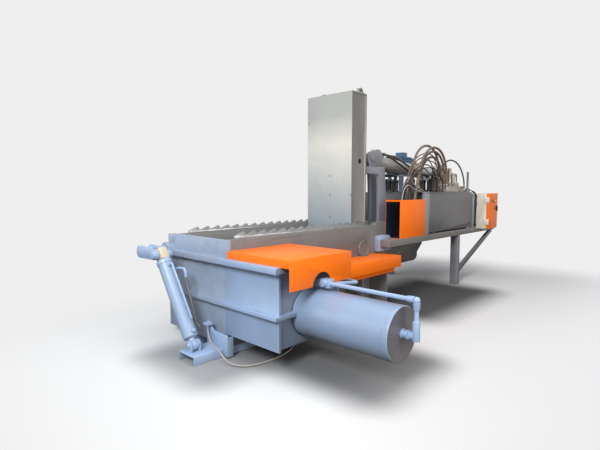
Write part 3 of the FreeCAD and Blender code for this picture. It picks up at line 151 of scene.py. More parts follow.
def studio_floor():
    """Pale floor with painted shadow in soft dark patches where the press stands, that runs out
    into the backdrop. It throws little light back up."""
    pick(None)
    bpy.ops.mesh.primitive_plane_add(size=120.0, location=(2.8, 0.0, -0.001))
    floor = bpy.context.object
    floor.name = "studio_floor"
    material = plain_material("studio_pale", (0.8, 0.8, 0.8), 0.95)
    tree = material.node_tree
    shader = tree.nodes["Principled BSDF"]
    shader.inputs["Specular IOR Level"].default_value = 0.0
    paths = tree.nodes.new("ShaderNodeLightPath")
    place = tree.nodes.new("ShaderNodeNewGeometry").outputs["Position"]
    # Painted shadow: three soft dark patches darken the floor's colour round the press's feet.
    left_painted_shadow = soft_patch(tree, place, (-0.20, -0.35), (0.22, 0.35), 0.42)
    front_painted_shadow = soft_patch(tree, place, (0.64, -0.95), (0.40, 0.85), 0.42)
    rear_painted_shadow = soft_patch(tree, place, (3.2, -0.62), (0.80, 0.42), 0.62)
    pale = two_colours(tree, left_painted_shadow, (0.32, 0.32, 0.32, 1.0), (0.68, 0.67, 0.655, 1.0))
    pale = two_colours(tree, front_painted_shadow, (0.17, 0.17, 0.17, 1.0), pale)
    pale = two_colours(tree, rear_painted_shadow, (0.09, 0.09, 0.09, 1.0), pale)
    tone = two_colours(tree, paths.outputs["Is Camera Ray"], (0.13, 0.105, 0.085, 1.0), pale)
    tree.links.new(tone, shader.inputs["Base Color"])
    far = soft_patch(tree, place, (2.6, -0.4), (2.9, 1.0), 1.9)
    farther = soft_patch(tree, place, (2.6, -0.4), (6.0, 4.5), 4.0)
    straight = maths(tree, "MAXIMUM", paths.outputs["Is Camera Ray"], paths.outputs["Is Transmission Ray"])
    share = maths(tree, "MAXIMUM", maths(tree, "MULTIPLY", straight, far),
                  maths(tree, "MULTIPLY", paths.outputs["Is Glossy Ray"], farther))
    glow = tree.nodes.new("ShaderNodeEmission")
    glow.inputs["Color"].default_value = (0.86, 0.86, 0.86, 1.0)
    mix = tree.nodes.new("ShaderNodeMixShader")
    tree.links.new(share, mix.inputs["Fac"])
    tree.links.new(shader.outputs["BSDF"], mix.inputs[1])
    tree.links.new(glow.outputs[0], mix.inputs[2])
    tree.links.new(mix.outputs[0], tree.nodes["Material Output"].inputs["Surface"])
    floor.data.materials.append(material)


def studio_air():
    """Backdrop for the eye; light that is cool and full from the end wall's side, warm and dim from near."""
    world = bpy.data.worlds.new("studio_air")
    bpy.context.scene.world = world
    world.use_nodes = True
    tree = world.node_tree
    ambient = tree.nodes["Background"]
    way = tree.nodes.new("ShaderNodeTexCoord").outputs["Generated"]
    dot = tree.nodes.new("ShaderNodeVectorMath")
    dot.operation = "DOT_PRODUCT"
    dot.inputs[1].default_value = (-0.66, 0.47, 0.59)
    tree.links.new(way, dot.inputs[0])
    full = level(tree, dot.outputs["Value"], -0.75, 0.75)
    tree.links.new(two_colours(tree, full, (0.40, 0.33, 0.29, 1.0), (0.80, 0.88, 1.0, 1.0)),
                   ambient.inputs["Color"])
    ambient.inputs["Strength"].default_value = 0.5
    backdrop = tree.nodes.new("ShaderNodeBackground")
    backdrop.inputs["Color"].default_value = (0.86, 0.86, 0.865, 1.0)
    backdrop.inputs["Strength"].default_value = 1.0
    paths = tree.nodes.new("ShaderNodeLightPath")
    seen = maths(tree, "MAXIMUM", paths.outputs["Is Camera Ray"], paths.outputs["Is Glossy Ray"])
    seen = maths(tree, "MAXIMUM", seen, paths.outputs["Is Transmission Ray"])
    mix = tree.nodes.new("ShaderNodeMixShader")
    tree.links.new(seen, mix.inputs["Fac"])
    tree.links.new(ambient.outputs[0], mix.inputs[1])
    tree.links.new(backdrop.outputs[0], mix.inputs[2])
    tree.links.new(mix.outputs[0], tree.nodes["World Output"].inputs["Surface"])


def area_lamp(name, place, aim, size, power, colour):
    """Square soft lamp that points at a place."""
    data = bpy.data.lights.new(name, "AREA")
    data.shape = "SQUARE"
    data.size = size
    data.energy = power
    data.color = colour
    lamp = bpy.data.objects.new(name, data)
    lamp.location = place
    lamp.rotation_mode = "QUATERNION"
    lamp.rotation_quaternion = (Vector(aim) - Vector(place)).to_track_quat("-Z", "Y")
    bpy.context.scene.collection.objects.link(lamp)


studio_floor()
studio_air()
area_lamp("lamp_key", (-6.8, -4.0, 6.4), (1.0, 0.0, 0.7), 3.2, 960.0, (0.94, 0.97, 1.0))
area_lamp("lamp_left", (-6.5, 6.5, 4.2), (1.0, 0.0, 0.7), 6.0, 170.0, (0.90, 0.95, 1.0))
area_lamp("lamp_top", (1.5, -1.0, 8.0), (2.0, 0.0, 0.8), 6.0, 230.0, (1.0, 0.99, 0.97))
area_lamp("lamp_near", (0.5, -9.5, 3.5), (2.0, 0.0, 0.8), 6.0, 420.0, (1.0, 0.97, 0.94))

# ------------------------------ base channels and floor tie
# Two hot-rolled channels lie legs down under the chamber, and a flat bar with the anchor
# holes joins them. They are shot-blasted and sprayed with the same blue-grey as the press.


def effect_group(name, inputs, outputs):
    """Empty shader node group with named inputs and outputs."""
    group = bpy.data.node_groups.new(name, "ShaderNodeTree")
    for label, kind, value in inputs:
        socket = group.interface.new_socket(label, in_out="INPUT", socket_type=kind)
        if value is not None:
            socket.default_value = value
    for label, kind in outputs:
        group.interface.new_socket(label, in_out="OUTPUT", socket_type=kind)
    return group, group.nodes.new("NodeGroupInput"), group.nodes.new("NodeGroupOutput")


def noise_mask(group, place, scale, low, high, detail=6.0):
    """Noise on a place, cut to a mask between two levels."""
    noise = group.nodes.new("ShaderNodeTexNoise")
    noise.inputs["Scale"].default_value = scale
    noise.inputs["Detail"].default_value = detail
    group.links.new(place, noise.inputs["Vector"])
    return noise.outputs["Fac"], level(group, noise.outputs["Fac"], low, high)


def sprayed_paint_group():
    """Workshop paint: slow tone drift, dust, small chips down to primer, and orange peel."""
    group, given, made = effect_group(
        "sprayed_paint",
        [("Colour", "NodeSocketColor", None), ("Grime", "NodeSocketColor", None),
         ("Dirt", "NodeSocketFloat", 0.4), ("Roughness", "NodeSocketFloat", 0.4)],
        [("Colour", "NodeSocketColor"), ("Roughness", "NodeSocketFloat"),
         ("Height", "NodeSocketFloat")])
    place = group.nodes.new("ShaderNodeTexCoord").outputs["Object"]
    _, drift = noise_mask(group, place, 1.7, 0.3, 0.75, 3.0)
    _, cloud = noise_mask(group, place, 6.5, 0.42, 0.80, 8.0)
    fine, speck = noise_mask(group, place, 55.0, 0.66, 0.74, 4.0)
    peel, _ = noise_mask(group, place, 420.0, 0.3, 0.7, 1.0)
    darker = group.nodes.new("ShaderNodeHueSaturation")
    darker.inputs["Value"].default_value = 0.90
    group.links.new(given.outputs["Colour"], darker.inputs["Color"])
    toned = two_colours(group, drift, darker.outputs["Color"], given.outputs["Colour"])
    dirt = maths(group, "MULTIPLY", cloud, given.outputs["Dirt"])
    dusty = two_colours(group, dirt, toned, given.outputs["Grime"])
    chips = maths(group, "MULTIPLY", maths(group, "MULTIPLY", speck, given.outputs["Dirt"]), 0.5)
    chipped = two_colours(group, chips, dusty, (0.16, 0.14, 0.13, 1.0))
    group.links.new(chipped, made.inputs["Colour"])
    rougher = maths(group, "ADD", given.outputs["Roughness"], maths(group, "MULTIPLY", dirt, 0.25))
    group.links.new(rougher, made.inputs["Roughness"])
    relief = maths(group, "ADD", maths(group, "MULTIPLY", peel, 0.25), maths(group, "MULTIPLY", fine, 0.5))
    group.links.new(relief, made.inputs["Height"])
    return group


sprayed_paint = sprayed_paint_group()


def surface(name, effect_tree, values, relief, depth):
    """Material that an effect group colours, roughens, bares to metal and raises."""
    material = bpy.data.materials.new(name)
    material.use_nodes = True
    tree = material.node_tree
    shader = tree.nodes["Principled BSDF"]
    effect = tree.nodes.new("ShaderNodeGroup")
    effect.node_tree = effect_tree
    for label, value in values.items():
        effect.inputs[label].default_value = (*value, 1.0) if isinstance(value, tuple) else value
    bump = tree.nodes.new("ShaderNodeBump")
    bump.inputs["Strength"].default_value = relief
    bump.inputs["Distance"].default_value = depth
    for output, target in (("Colour", "Base Color"), ("Roughness", "Roughness"), ("Bare", "Metallic")):
        if output in effect.outputs:
            tree.links.new(effect.outputs[output], shader.inputs[target])
    tree.links.new(effect.outputs["Height"], bump.inputs["Height"])
    tree.links.new(bump.outputs["Normal"], shader.inputs["Normal"])
    return material


def painted(name, colour, grime, dirt, roughness, coat=0.0, shine=0.5):
    """Sprayed paint of one colour."""
    values = {"Colour": colour, "Grime": grime, "Dirt": dirt, "Roughness": roughness}
    material = surface(name, sprayed_paint, values, 0.06, 0.002)
    shader = material.node_tree.nodes["Principled BSDF"]
    shader.inputs["Coat Weight"].default_value = coat
    shader.inputs["Coat Roughness"].default_value = 0.22
    shader.inputs["Specular IOR Level"].default_value = shine
    return material


def edge_broken(node, material, body, edge, segments=2, smooth=40.0):
    """Copy of a solid's skin with its faces merged and its edges broken, in place of the solid."""
    source = frame["nodes"][node]
    obj = source.copy()
    obj.data = source.data.copy()
    obj.parent = None
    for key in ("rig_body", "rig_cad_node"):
        if key in obj:
            del obj[key]
    bpy.context.scene.collection.objects.link(obj)
    obj.name = node + "_finished"
    pick(obj)
    bpy.ops.object.mode_set(mode="EDIT")
    bpy.ops.mesh.select_all(action="SELECT")
    bpy.ops.mesh.remove_doubles(threshold=0.00002)
    bpy.ops.mesh.dissolve_limited(angle_limit=math.radians(0.6))
    bpy.ops.object.mode_set(mode="OBJECT")
    bevel = obj.modifiers.new("edges", "BEVEL")
    bevel.width = edge
    bevel.segments = segments
    bevel.limit_method = "ANGLE"
    bevel.angle_limit = math.radians(smooth)
    bpy.ops.object.modifier_apply(modifier="edges")
    bpy.ops.object.shade_smooth_by_angle(angle=math.radians(smooth))
    obj.data.materials.clear()
    obj.data.materials.append(material)
    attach(obj, body)
    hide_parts(node)
    return obj


press_paint = painted("press_paint", (0.31, 0.42, 0.60), (0.25, 0.26, 0.28), 0.30, 0.34, 0.15)
for node in ("base_channels", "base_tie"):
    edge_broken(node, press_paint, "frame", 0.003)

# ------------------------------ chamber floor, walls and end plates
# Thick plate walls stand on the channels, welded all round. The end wall is sprayed blue-grey and
# shows rippled welds along its two ribs; the other walls are a dark brownish grey, painted shade over
# the dust of the scrap.


def weld_bead(name, start, end, radius, material, body):
    """Rippled fillet weld in a straight line between two points."""
    start, end = Vector(start), Vector(end)
    ripples = max(2, int((end - start).length / (radius * 1.6)))
    curve = bpy.data.curves.new(name, "CURVE")
    curve.dimensions = "3D"
    curve.bevel_depth = radius
    curve.bevel_resolution = 2
    line = curve.splines.new("POLY")
    line.points.add(ripples)
    for k, point in enumerate(line.points):
        point.co = (*start.lerp(end, k / ripples), 1.0)
        point.radius = 1.0 if k % 2 else 0.82
    obj = bpy.data.objects.new(name, curve)
    bpy.context.scene.collection.objects.link(obj)
    pick(obj)
    bpy.ops.object.convert(target="MESH")
    obj.data.materials.append(material)
    bpy.ops.object.shade_smooth()
    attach(obj, body)


wall_paint = painted("wall_paint", (0.29, 0.355, 0.46), (0.13, 0.14, 0.16), 0.35, 0.40, 0.10)
# Dark brownish grey: painted shade of the dim near faces, with real dust and dirt over it.
dust_and_shade_paint = painted("dust_and_shade_paint", (0.150, 0.143, 0.138), (0.20, 0.185, 0.172), 0.45, 0.50, 0.05)
for node, paint in (("chamber_floor", dust_and_shade_paint), ("rear_wall", dust_and_shade_paint), ("near_wall", dust_and_shade_paint),
                    ("far_wall", dust_and_shade_paint), ("end_wall", wall_paint)):
    edge_broken(node, paint, "frame", 0.003)
weld_x, weld_size = -0.001, 0.004
for rib_edge, far_y, near_y, z in (("top", 0.44, -0.385, 0.888), ("mid", 0.51, -1.04, 0.488),
                                   ("low", 0.51, -1.04, 0.454), ("under", 0.51, -1.04, 0.834)):
    weld_bead(f"end_rib_{rib_edge}_weld", (weld_x, far_y, z), (weld_x, near_y, z), weld_size, wall_paint,
              "frame")

# ------------------------------ shear blades
# Hardened strips with a saw of long ramps, bolted on the wall tops; small bolt holes on the
# near one are near-black discs of painted shade. Use has worn their paint away to dull scuffed steel with
# patches of rust.


def worn_steel_group():
    """Scuffed bare steel: streaks, rust in patches and uneven gloss."""
    group, given, made = effect_group(
        "worn_steel",
        [("Steel", "NodeSocketColor", None), ("Rust", "NodeSocketColor", None),
         ("Amount", "NodeSocketFloat", 0.5)],
        [("Colour", "NodeSocketColor"), ("Roughness", "NodeSocketFloat"), ("Bare", "NodeSocketFloat"),
         ("Height", "NodeSocketFloat")])
    place = group.nodes.new("ShaderNodeTexCoord").outputs["Object"]
    fine, patches = noise_mask(group, place, 9.0, 0.40, 0.66, 9.0)
    grain, streaks = noise_mask(group, place, 90.0, 0.35, 0.72, 3.0)
    rust = maths(group, "MULTIPLY", patches, given.outputs["Amount"])
    colour = two_colours(group, rust, given.outputs["Steel"], given.outputs["Rust"])
    group.links.new(colour, made.inputs["Colour"])
    uneven = maths(group, "ADD", maths(group, "MULTIPLY", rust, 0.7), maths(group, "MULTIPLY", streaks, 0.3))
    group.links.new(level(group, uneven, 0.0, 1.0, 0.34, 0.62), made.inputs["Roughness"])
    group.links.new(level(group, rust, 0.0, 1.0, 1.0, 0.25), made.inputs["Bare"])
    group.links.new(maths(group, "ADD", grain, fine), made.inputs["Height"])
    return group


worn_steel = worn_steel_group()


def worn_metal(name, steel, rust, amount, relief=0.12):
    """Bare metal with some rust or grime."""
    return surface(name, worn_steel, {"Steel": steel, "Rust": rust, "Amount": amount}, relief, 0.002)


blade_steel = worn_metal("blade_steel", (0.38, 0.385, 0.39), (0.17, 0.145, 0.125), 0.5)
for node in ("near_shear_blade", "far_shear_blade"):
    edge_broken(node, blade_steel, "frame", 0.0015, 1)


def round_piece(name, start, end, radius, material, body, vertices):
    """Plain round disc between two points."""
    start, end = Vector(start), Vector(end)
    pick(None)
    bpy.ops.mesh.primitive_cylinder_add(vertices=vertices, radius=radius, depth=(end - start).length)
    obj = bpy.context.object
    obj.rotation_mode = "QUATERNION"
    obj.rotation_quaternion = (end - start).to_track_quat("Z", "Y")
    obj.location = (start + end) / 2
    bpy.ops.object.transform_apply(location=True, rotation=True, scale=True)
    bpy.ops.object.shade_smooth_by_angle(angle=math.radians(40))
    obj.name = name
    obj.data.materials.clear()
    obj.data.materials.append(material)
    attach(obj, body)


# Near-black for painted shade inside holes; the plug weld dots on the lid use it too.
hole_dark = plain_material("hole_dark", (0.03, 0.03, 0.033), 0.7)
bolt_pitch, bolt_rise = 0.0374, 0.0007
hole_bottom_y, hole_mouth_y, hole_radius = -0.4390, -0.4408, 0.0055
for k in range(12):
    x, z = 0.530 + bolt_pitch * k, 1.016 + bolt_rise * k
    round_piece(f"blade_bolt_hole_{k}", (x, hole_bottom_y, z), (x, hole_mouth_y, z), hole_radius, hole_dark,
                "frame", 16)

# ------------------------------ side ram housing and both rams
# A welded box on the near side guides the side ram; two wide ribs carry on round its corner
# from the end wall, and its near face is painted darker as painted shade. Both rams are scuffed bare steel.
workshop_dust = (0.24, 0.215, 0.195)
housing_near_face_painted_shade = painted("housing_near_face_painted_shade", (0.185, 0.24, 0.33), workshop_dust, 0.35, 0.36, 0.15)
side_housing = edge_broken("side_housing", press_paint, "frame", 0.0025)
# Faces turned to the near side take the darker copy: painted shade.
side_housing.data.materials.append(housing_near_face_painted_shade)
for face in side_housing.data.polygons:
    face.material_index = int(face.normal.y < -0.9)
corner_x, corner_y = 0.025, -1.046
for name, low, high in (("housing_corner_weld", 0.49, 0.832), ("housing_foot_weld", 0.19, 0.452)):
    weld_bead(name, (corner_x, corner_y, low), (corner_x, corner_y, high), weld_size, press_paint, "frame")
ram_steel = worn_metal("ram_steel", (0.36, 0.35, 0.34), (0.14, 0.10, 0.07), 0.4)
edge_broken("side_ram", ram_steel, "side_ram", 0.004)
edge_broken("main_ram", ram_steel, "main_ram", 0.004)

# ------------------------------ orange covers
# Folded sheet in signal orange, screwed down: one over the side ram with a round notch for
# the pipe, one along the chamber with a round clearance for the hinge disc.


def hex_head(name, place, axis, across, height, material, body):
    """Bevelled hexagon head with a washer under it, standing on a face."""
    pick(None)
    bpy.ops.mesh.primitive_cylinder_add(vertices=24, radius=across * 0.62, depth=height * 0.24,
                                        location=(0, 0, height * 0.12))
    washer = bpy.context.object
    pick(None)
    bpy.ops.mesh.primitive_cylinder_add(vertices=6, radius=across / math.sqrt(3), depth=height * 0.76,
                                        location=(0, 0, height * 0.62))
    head = bpy.context.object
    bevel = head.modifiers.new("chamfer", "BEVEL")
    bevel.width = across * 0.06
    bevel.segments = 1
    bpy.ops.object.modifier_apply(modifier="chamfer")
    washer.select_set(True)
    bpy.ops.object.join()
    head.rotation_mode = "QUATERNION"
    head.rotation_quaternion = Vector(axis).to_track_quat("Z", "Y")
    head.location = place
    head.name = name
    pick(head)
    bpy.ops.object.transform_apply(location=True, rotation=True, scale=True)
    head.data.materials.clear()
    head.data.materials.append(material)
    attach(head, body)


orange_paint = painted("orange_paint", (1.0, 0.185, 0.002), (0.70, 0.20, 0.05), 0.14, 0.42, 0.0, 0.3)
for node in ("side_cover", "ledge_cover"):
    edge_broken(node, orange_paint, "frame", 0.0018, 2)
screw_across, screw_height = 0.015, 0.007
cover_screws = [(x, y, 0.9518) for x in (0.06, 0.69) for y in (-0.50, -0.84, -1.18)]
for k, place in enumerate(cover_screws):
    hex_head(f"cover_screw_{k}", place, (0, 0, 1), screw_across, screw_height, orange_paint, "frame")
for k in range(6):
    place = (0.86 + 0.28 * k, -0.755, 0.6898)
    hex_head(f"ledge_screw_{k}", place, (0, 0, 1), screw_across, screw_height, orange_paint, "frame")

# ------------------------------ side cylinder
# A thick rolled barrel with a flat cap in its end, sprayed like the press; the cap is a dark copy
# of the paint as painted shade. A shallow groove runs near its rim, and a near-black ring at the housing
# is painted shade in the gap there. Both rams' rods are chromed.
side_x, side_z = 0.400, 0.450
barrel_gloss = painted("barrel_gloss", (0.25, 0.335, 0.475), (0.24, 0.23, 0.235), 0.30, 0.30, 0.25)
cap_painted_shade = painted("cap_painted_shade", (0.125, 0.125, 0.145), workshop_dust, 0.40, 0.40, 0.15)


def turned(name, start, end, profile, material, body, vertices=96):
    """Turned piece: rings of (distance from the start, radius), closed at both ends."""
    start, end = Vector(start), Vector(end)
    along = (end - start).normalized()
    pick(None)
    bpy.ops.mesh.primitive_circle_add(vertices=vertices, radius=profile[0][1], fill_type="NGON")
    obj = bpy.context.object
    bpy.ops.object.mode_set(mode="EDIT")
    bpy.ops.mesh.select_all(action="SELECT")
    for (d0, r0), (d1, r1) in zip(profile, profile[1:]):
        bpy.ops.mesh.extrude_region_move(TRANSFORM_OT_translate={"value": (0, 0, d1 - d0)})
        if abs(r1 - r0) > 1e-7:
            bpy.ops.transform.resize(value=(r1 / r0, r1 / r0, 1.0), center_override=(0, 0, d1))
    bpy.ops.mesh.select_all(action="SELECT")
    bpy.ops.mesh.normals_make_consistent(inside=False)
    bpy.ops.object.mode_set(mode="OBJECT")
    obj.rotation_mode = "QUATERNION"
    obj.rotation_quaternion = along.to_track_quat("Z", "Y")
    obj.location = start
    bpy.ops.object.transform_apply(location=True, rotation=True, scale=True)
    bpy.ops.object.shade_smooth_by_angle(angle=math.radians(35))
    obj.name = name
    obj.data.materials.clear()
    obj.data.materials.append(material)
    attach(obj, body)
    return obj


barrel = turned("side_barrel", (side_x, -1.963, side_z), (side_x, -0.855, side_z),
                [(0.0, 0.205), (0.003, 0.2085), (0.007, 0.2105), (0.012, 0.211), (0.0435, 0.211),
                 (0.046, 0.2080), (0.051, 0.2080), (0.0535, 0.211), (1.100, 0.211), (1.108, 0.205)],
                barrel_gloss, "frame")
barrel.data.materials.append(cap_painted_shade)
# The end cap's faces take the dark copy of the paint: painted shade.
cap_y = -1.9625
for face in barrel.data.polygons:
    face.material_index = int(face.center.y < cap_y)
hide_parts("side_cylinder")


def round_ring(name, place, turn, radius, thickness, segments, material):
    """Ring of round wire round a place, fixed on the frame."""
    pick(None)
    bpy.ops.mesh.primitive_torus_add(major_radius=radius, minor_radius=thickness, major_segments=segments[0],
                                     minor_segments=segments[1], location=place, rotation=turn)
    ring = bpy.context.object
    bpy.ops.object.transform_apply(location=True, rotation=True, scale=True)
    ring.name = name
    ring.data.materials.append(material)
    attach(ring, "frame")


# Thin near-black ring where the barrel enters the housing: painted shade in the gap.
gap_painted_shade = plain_material("gap_painted_shade", (0.02, 0.02, 0.022), 0.7)
round_ring("side_barrel_gap_shade", (side_x, -1.0465, side_z), (math.pi / 2, 0.0, 0.0), 0.2125, 0.0035, (96, 10),
           gap_painted_shade)
chrome = worn_metal("rod_chrome", (0.72, 0.72, 0.74), (0.40, 0.37, 0.33), 0.12, 0.02)
for node, body in (("side_ram_rod", "side_ram"), ("main_ram_rod", "main_ram")):
    edge_broken(node, chrome, body, 0.003)

# ------------------------------ feed pipe of the side cylinder
# Drawn pipe from a square port block over the barrel to an elbow, a drop and the cap port.
# The block and the elbow are forged, and two nuts hold the drop at the cap.
edge_broken("side_feed_pipe", press_paint, "frame", 0.0015, 2, 45.0)
elbow_end = [(0.0, 0.0185), (0.004, 0.0235), (0.020, 0.0235), (0.024, 0.0258), (0.058, 0.0258)]
for way, start, end in (("in", (-1.995, 0.722), (-2.060, 0.722)), ("out", (-2.072, 0.650), (-2.072, 0.716))):
    turned(f"feed_elbow_{way}", (side_x, *start), (side_x, *end), elbow_end, press_paint, "frame", 32)
pick(None)
bpy.ops.mesh.primitive_uv_sphere_add(segments=32, ring_count=16, radius=0.0262,
                                     location=(side_x, -2.0700, 0.7205))
bend = bpy.context.object
bpy.ops.object.transform_apply(location=True, rotation=True, scale=True)
bpy.ops.object.shade_smooth()
bend.name = "feed_elbow_bend"
bend.data.materials.append(press_paint)
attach(bend, "frame")
for k, y in enumerate((-1.974, -2.022)):
    hex_head(f"feed_nut_{k}", (side_x, y, 0.460), (0, -1, 0), 0.062, 0.016, press_paint, "frame")

# ------------------------------ main cylinder
# The main cylinder is bolted on the rear wall by a square flange and runs under the platform.
# Its paint is nearly black with shade and dust.
shade_paint = painted("shade_paint", (0.075, 0.075, 0.08), workshop_dust, 0.35, 0.45)
edge_broken("main_cylinder", shade_paint, "frame", 0.003)

# ------------------------------ lid
# A deep welded box, sprayed glossy light grey. Its pressing face carries a painted reflection, a pale
# band across its middle height, and its sides are a darker copy of the grey as painted shade.
# Plug welds show as small dark dots, and a round hole in its near side is near-black painted shade inside.
lid_gloss_and_painted_reflection = painted("lid_gloss_and_painted_reflection", (0.38, 0.385, 0.36), (0.28, 0.30, 0.32), 0.20, 0.34, 0.25)
# Painted reflection: the pressing face's colour turns pale in a band across its middle height and darker
# above it.
tree = lid_gloss_and_painted_reflection.node_tree
height = tree.nodes.new("ShaderNodeSeparateXYZ")
tree.links.new(tree.nodes.new("ShaderNodeTexCoord").outputs["Object"], height.inputs["Vector"])
painted_reflection_band = level(tree, height.outputs["Z"], 1.0, 2.05)
toned = two_colours(tree, painted_reflection_band, (0.30, 0.345, 0.385, 1.0), (0.66, 0.645, 0.56, 1.0))
toned = two_colours(tree, level(tree, height.outputs["Z"], 2.05, 2.40), toned, (0.36, 0.365, 0.33, 1.0))
for node in tree.nodes:
    if node.type == "GROUP":
        tree.links.new(toned, node.inputs["Colour"])
# Darker copy of the lid's grey for its sides: painted shade.
lid_side_painted_shade = painted("lid_side_painted_shade", (0.17, 0.163, 0.155), workshop_dust, 0.35, 0.36, 0.15)
lid = edge_broken("lid", lid_gloss_and_painted_reflection, "lid", 0.004, 3)
lid.data.materials.append(lid_side_painted_shade)
lid.data.materials.append(hole_dark)
side_hole, side_hole_reach = Vector((2.09, 1.84)), 0.032
# Faces inside the side hole take near-black painted shade; the front keeps the painted reflection, the rest
# the sides' painted shade.
for face in lid.data.polygons:
    corners = [lid.data.vertices[k].co.xz for k in face.vertices]
    in_hole = all((corner - side_hole).length < side_hole_reach for corner in corners)
    face.material_index = 2 if in_hole else int(face.normal.x > -0.9)
weld_front, weld_back, weld_radius = 1.9112, 1.9150, 0.009
for k, (y, z) in enumerate([(-0.022, 1.665), (-0.024, 1.427), (-0.345, 1.430), (-0.026, 1.149),
                            (0.336, 2.343)]):
    round_piece(f"plug_weld_{k}", (weld_front, y, z), (weld_back, y, z), weld_radius, hole_dark, "lid", 20)

# ------------------------------ lid hinge and rear arms
# A turned pin through both walls ends in shallow discs. Four curved arms stand behind the lid,
# and the ears on the inner pair carry its cylinder.
grey_paint = painted("grey_paint", (0.24, 0.255, 0.295), workshop_dust, 0.35, 0.40, 0.10)
edge_broken("lid_hinge_pin", dust_and_shade_paint, "frame", 0.002)
edge_broken("lid_arms", grey_paint, "lid", 0.004, 2, 35.0)

# ------------------------------ lid cylinder
# The cylinder lies from the ears back to its stand on the platform; the rod hides in it
# while the lid is up.
cylinder_grey = painted("cylinder_grey", (0.40, 0.38, 0.36), workshop_dust, 0.40, 0.32, 0.20)
edge_broken("lid_barrel", cylinder_grey, "lid_barrel", 0.003)
edge_broken("lid_rod", chrome, "lid_rod", 0.003)
edge_broken("lid_tail_bracket", press_paint, "frame", 0.004)

# ------------------------------ bale gate and its lock
# A ribbed flap hangs on the far wall, and a shaft with two claws holds it shut. A lever pair and
# a small leaning cylinder on a clevis foot turn it; a thin line runs down along its barrel.


def bent_tube(name, points, radius, material, body):
    """Smooth round tube or cable through a few points."""
    curve = bpy.data.curves.new(name, "CURVE")
    curve.dimensions = "3D"
    curve.bevel_depth = radius
    curve.bevel_resolution = 4
    curve.use_fill_caps = True
    line = curve.splines.new("BEZIER")
    line.bezier_points.add(len(points) - 1)
    for point, place in zip(line.bezier_points, points):
        point.co = place
        point.handle_left_type = "AUTO"
        point.handle_right_type = "AUTO"
    obj = bpy.data.objects.new(name, curve)
    bpy.context.scene.collection.objects.link(obj)
    pick(obj)
    bpy.ops.object.convert(target="MESH")
    obj.data.materials.append(material)
    bpy.ops.object.shade_smooth()
    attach(obj, body)


for node, body in (("gate", "gate"), ("gate_bearings", "frame"), ("lock_shaft", "lock_shaft"),
                   ("lock_foot", "frame"), ("lock_barrel", "lock_barrel")):
    edge_broken(node, press_paint, body, 0.003, 2, 35.0)
lock_rod = edge_broken("lock_rod", chrome, "lock_rod", 0.003)
rod_end_cream = painted("rod_end_cream", (0.62, 0.53, 0.40), workshop_dust, 0.25, 0.35)
lock_rod.data.materials.append(rod_end_cream)
rod_end, rod_end_reach = Vector((-0.275, 0.225, 0.880)), 0.09
for face in lock_rod.data.polygons:
    face.material_index = int((face.center - rod_end).length < rod_end_reach)
bent_tube("lock_line_elbow", [(-0.214, 0.134, 0.722), (-0.192, 0.115, 0.748), (-0.170, 0.060, 0.757),
                              (-0.170, 0.002, 0.748), (-0.170, -0.020, 0.682)],
          0.015, press_paint, "lock_barrel")
bent_tube("lock_line", [(-0.170, -0.018, 0.688), (-0.170, -0.033, 0.621), (-0.170, -0.079, 0.516),
                        (-0.170, -0.125, 0.393), (-0.168, -0.170, 0.290), (-0.150, -0.205, 0.245)],
          0.0105, dust_and_shade_paint, "lock_barrel")

# ------------------------------ platform, brackets, legs and gussets
# Two closed hollow beams rest on round-topped lugs at the chamber and on two braced legs at the
# back, with sloping gussets below and square posts above. Their greys get darker towards the back:
# painted shade under and behind the platform.
# Painted shade: the beams, legs and gussets get darker greys towards the back.
beam_paint = painted("beam_paint", (0.19, 0.178, 0.168), workshop_dust, 0.35, 0.40, 0.2)
leg_paint = painted("leg_paint", (0.13, 0.13, 0.145), workshop_dust, 0.25, 0.42, 0.2)
for node, paint in (("platform_beams", beam_paint), ("beam_brackets", wall_paint), ("rear_legs", leg_paint),
                    ("rear_gussets", shade_paint), ("pack_posts", grey_paint)):
    edge_broken(node, paint, "frame", 0.004)

# ------------------------------ guard panel
# Folded orange sheets and a tray round the dropping hoses, open at the front end. The inside
# faces are near-black painted shade.
guard = edge_broken("pack_guard", orange_paint, "frame", 0.0018)
guard.data.materials.append(plain_material("guard_inside_painted_shade", (0.008, 0.011, 0.024), 0.5))
# Faces inside the guard take near-black painted shade.
near_sheet_y, far_sheet_y, tray_z = -0.645, -0.47, 0.9
for face in guard.data.polygons:
    near_inside = face.normal.y > 0.9 and face.center.y < near_sheet_y
    far_inside = face.normal.y < -0.9 and face.center.y > far_sheet_y
    tray_inside = face.normal.z > 0.9 and face.center.z < tray_z
    face.material_index = int(near_inside or far_inside or tray_inside)

# ------------------------------ oil tank
# Dark grey welded tank with rounded upright corners. Its cover is held by a row of bolts along
# the near edge and one along the edge towards the lid.
tank_paint = painted("tank_paint", (0.085, 0.088, 0.092), (0.16, 0.145, 0.13), 0.35, 0.32, 0.2)
for node in ("oil_tank", "tank_cover"):
    edge_broken(node, tank_paint, "frame", 0.004, 3)
bolt_steel = worn_metal("bolt_steel", (0.30, 0.29, 0.28), (0.13, 0.09, 0.06), 0.5)
cover_z = 1.452
for name, count, x, y, x_pitch, y_pitch in (("tank_bolt", 11, 3.42, -0.632, 0.13, 0.0),
                                            ("tank_end_bolt", 8, 3.385, -0.50, 0.0, 0.14)):
    for k in range(count):
        place = (x + x_pitch * k, y + y_pitch * k, cover_z)
        hex_head(f"{name}_{k}", place, (0, 0, 1), 0.022, 0.012, bolt_steel, "frame")

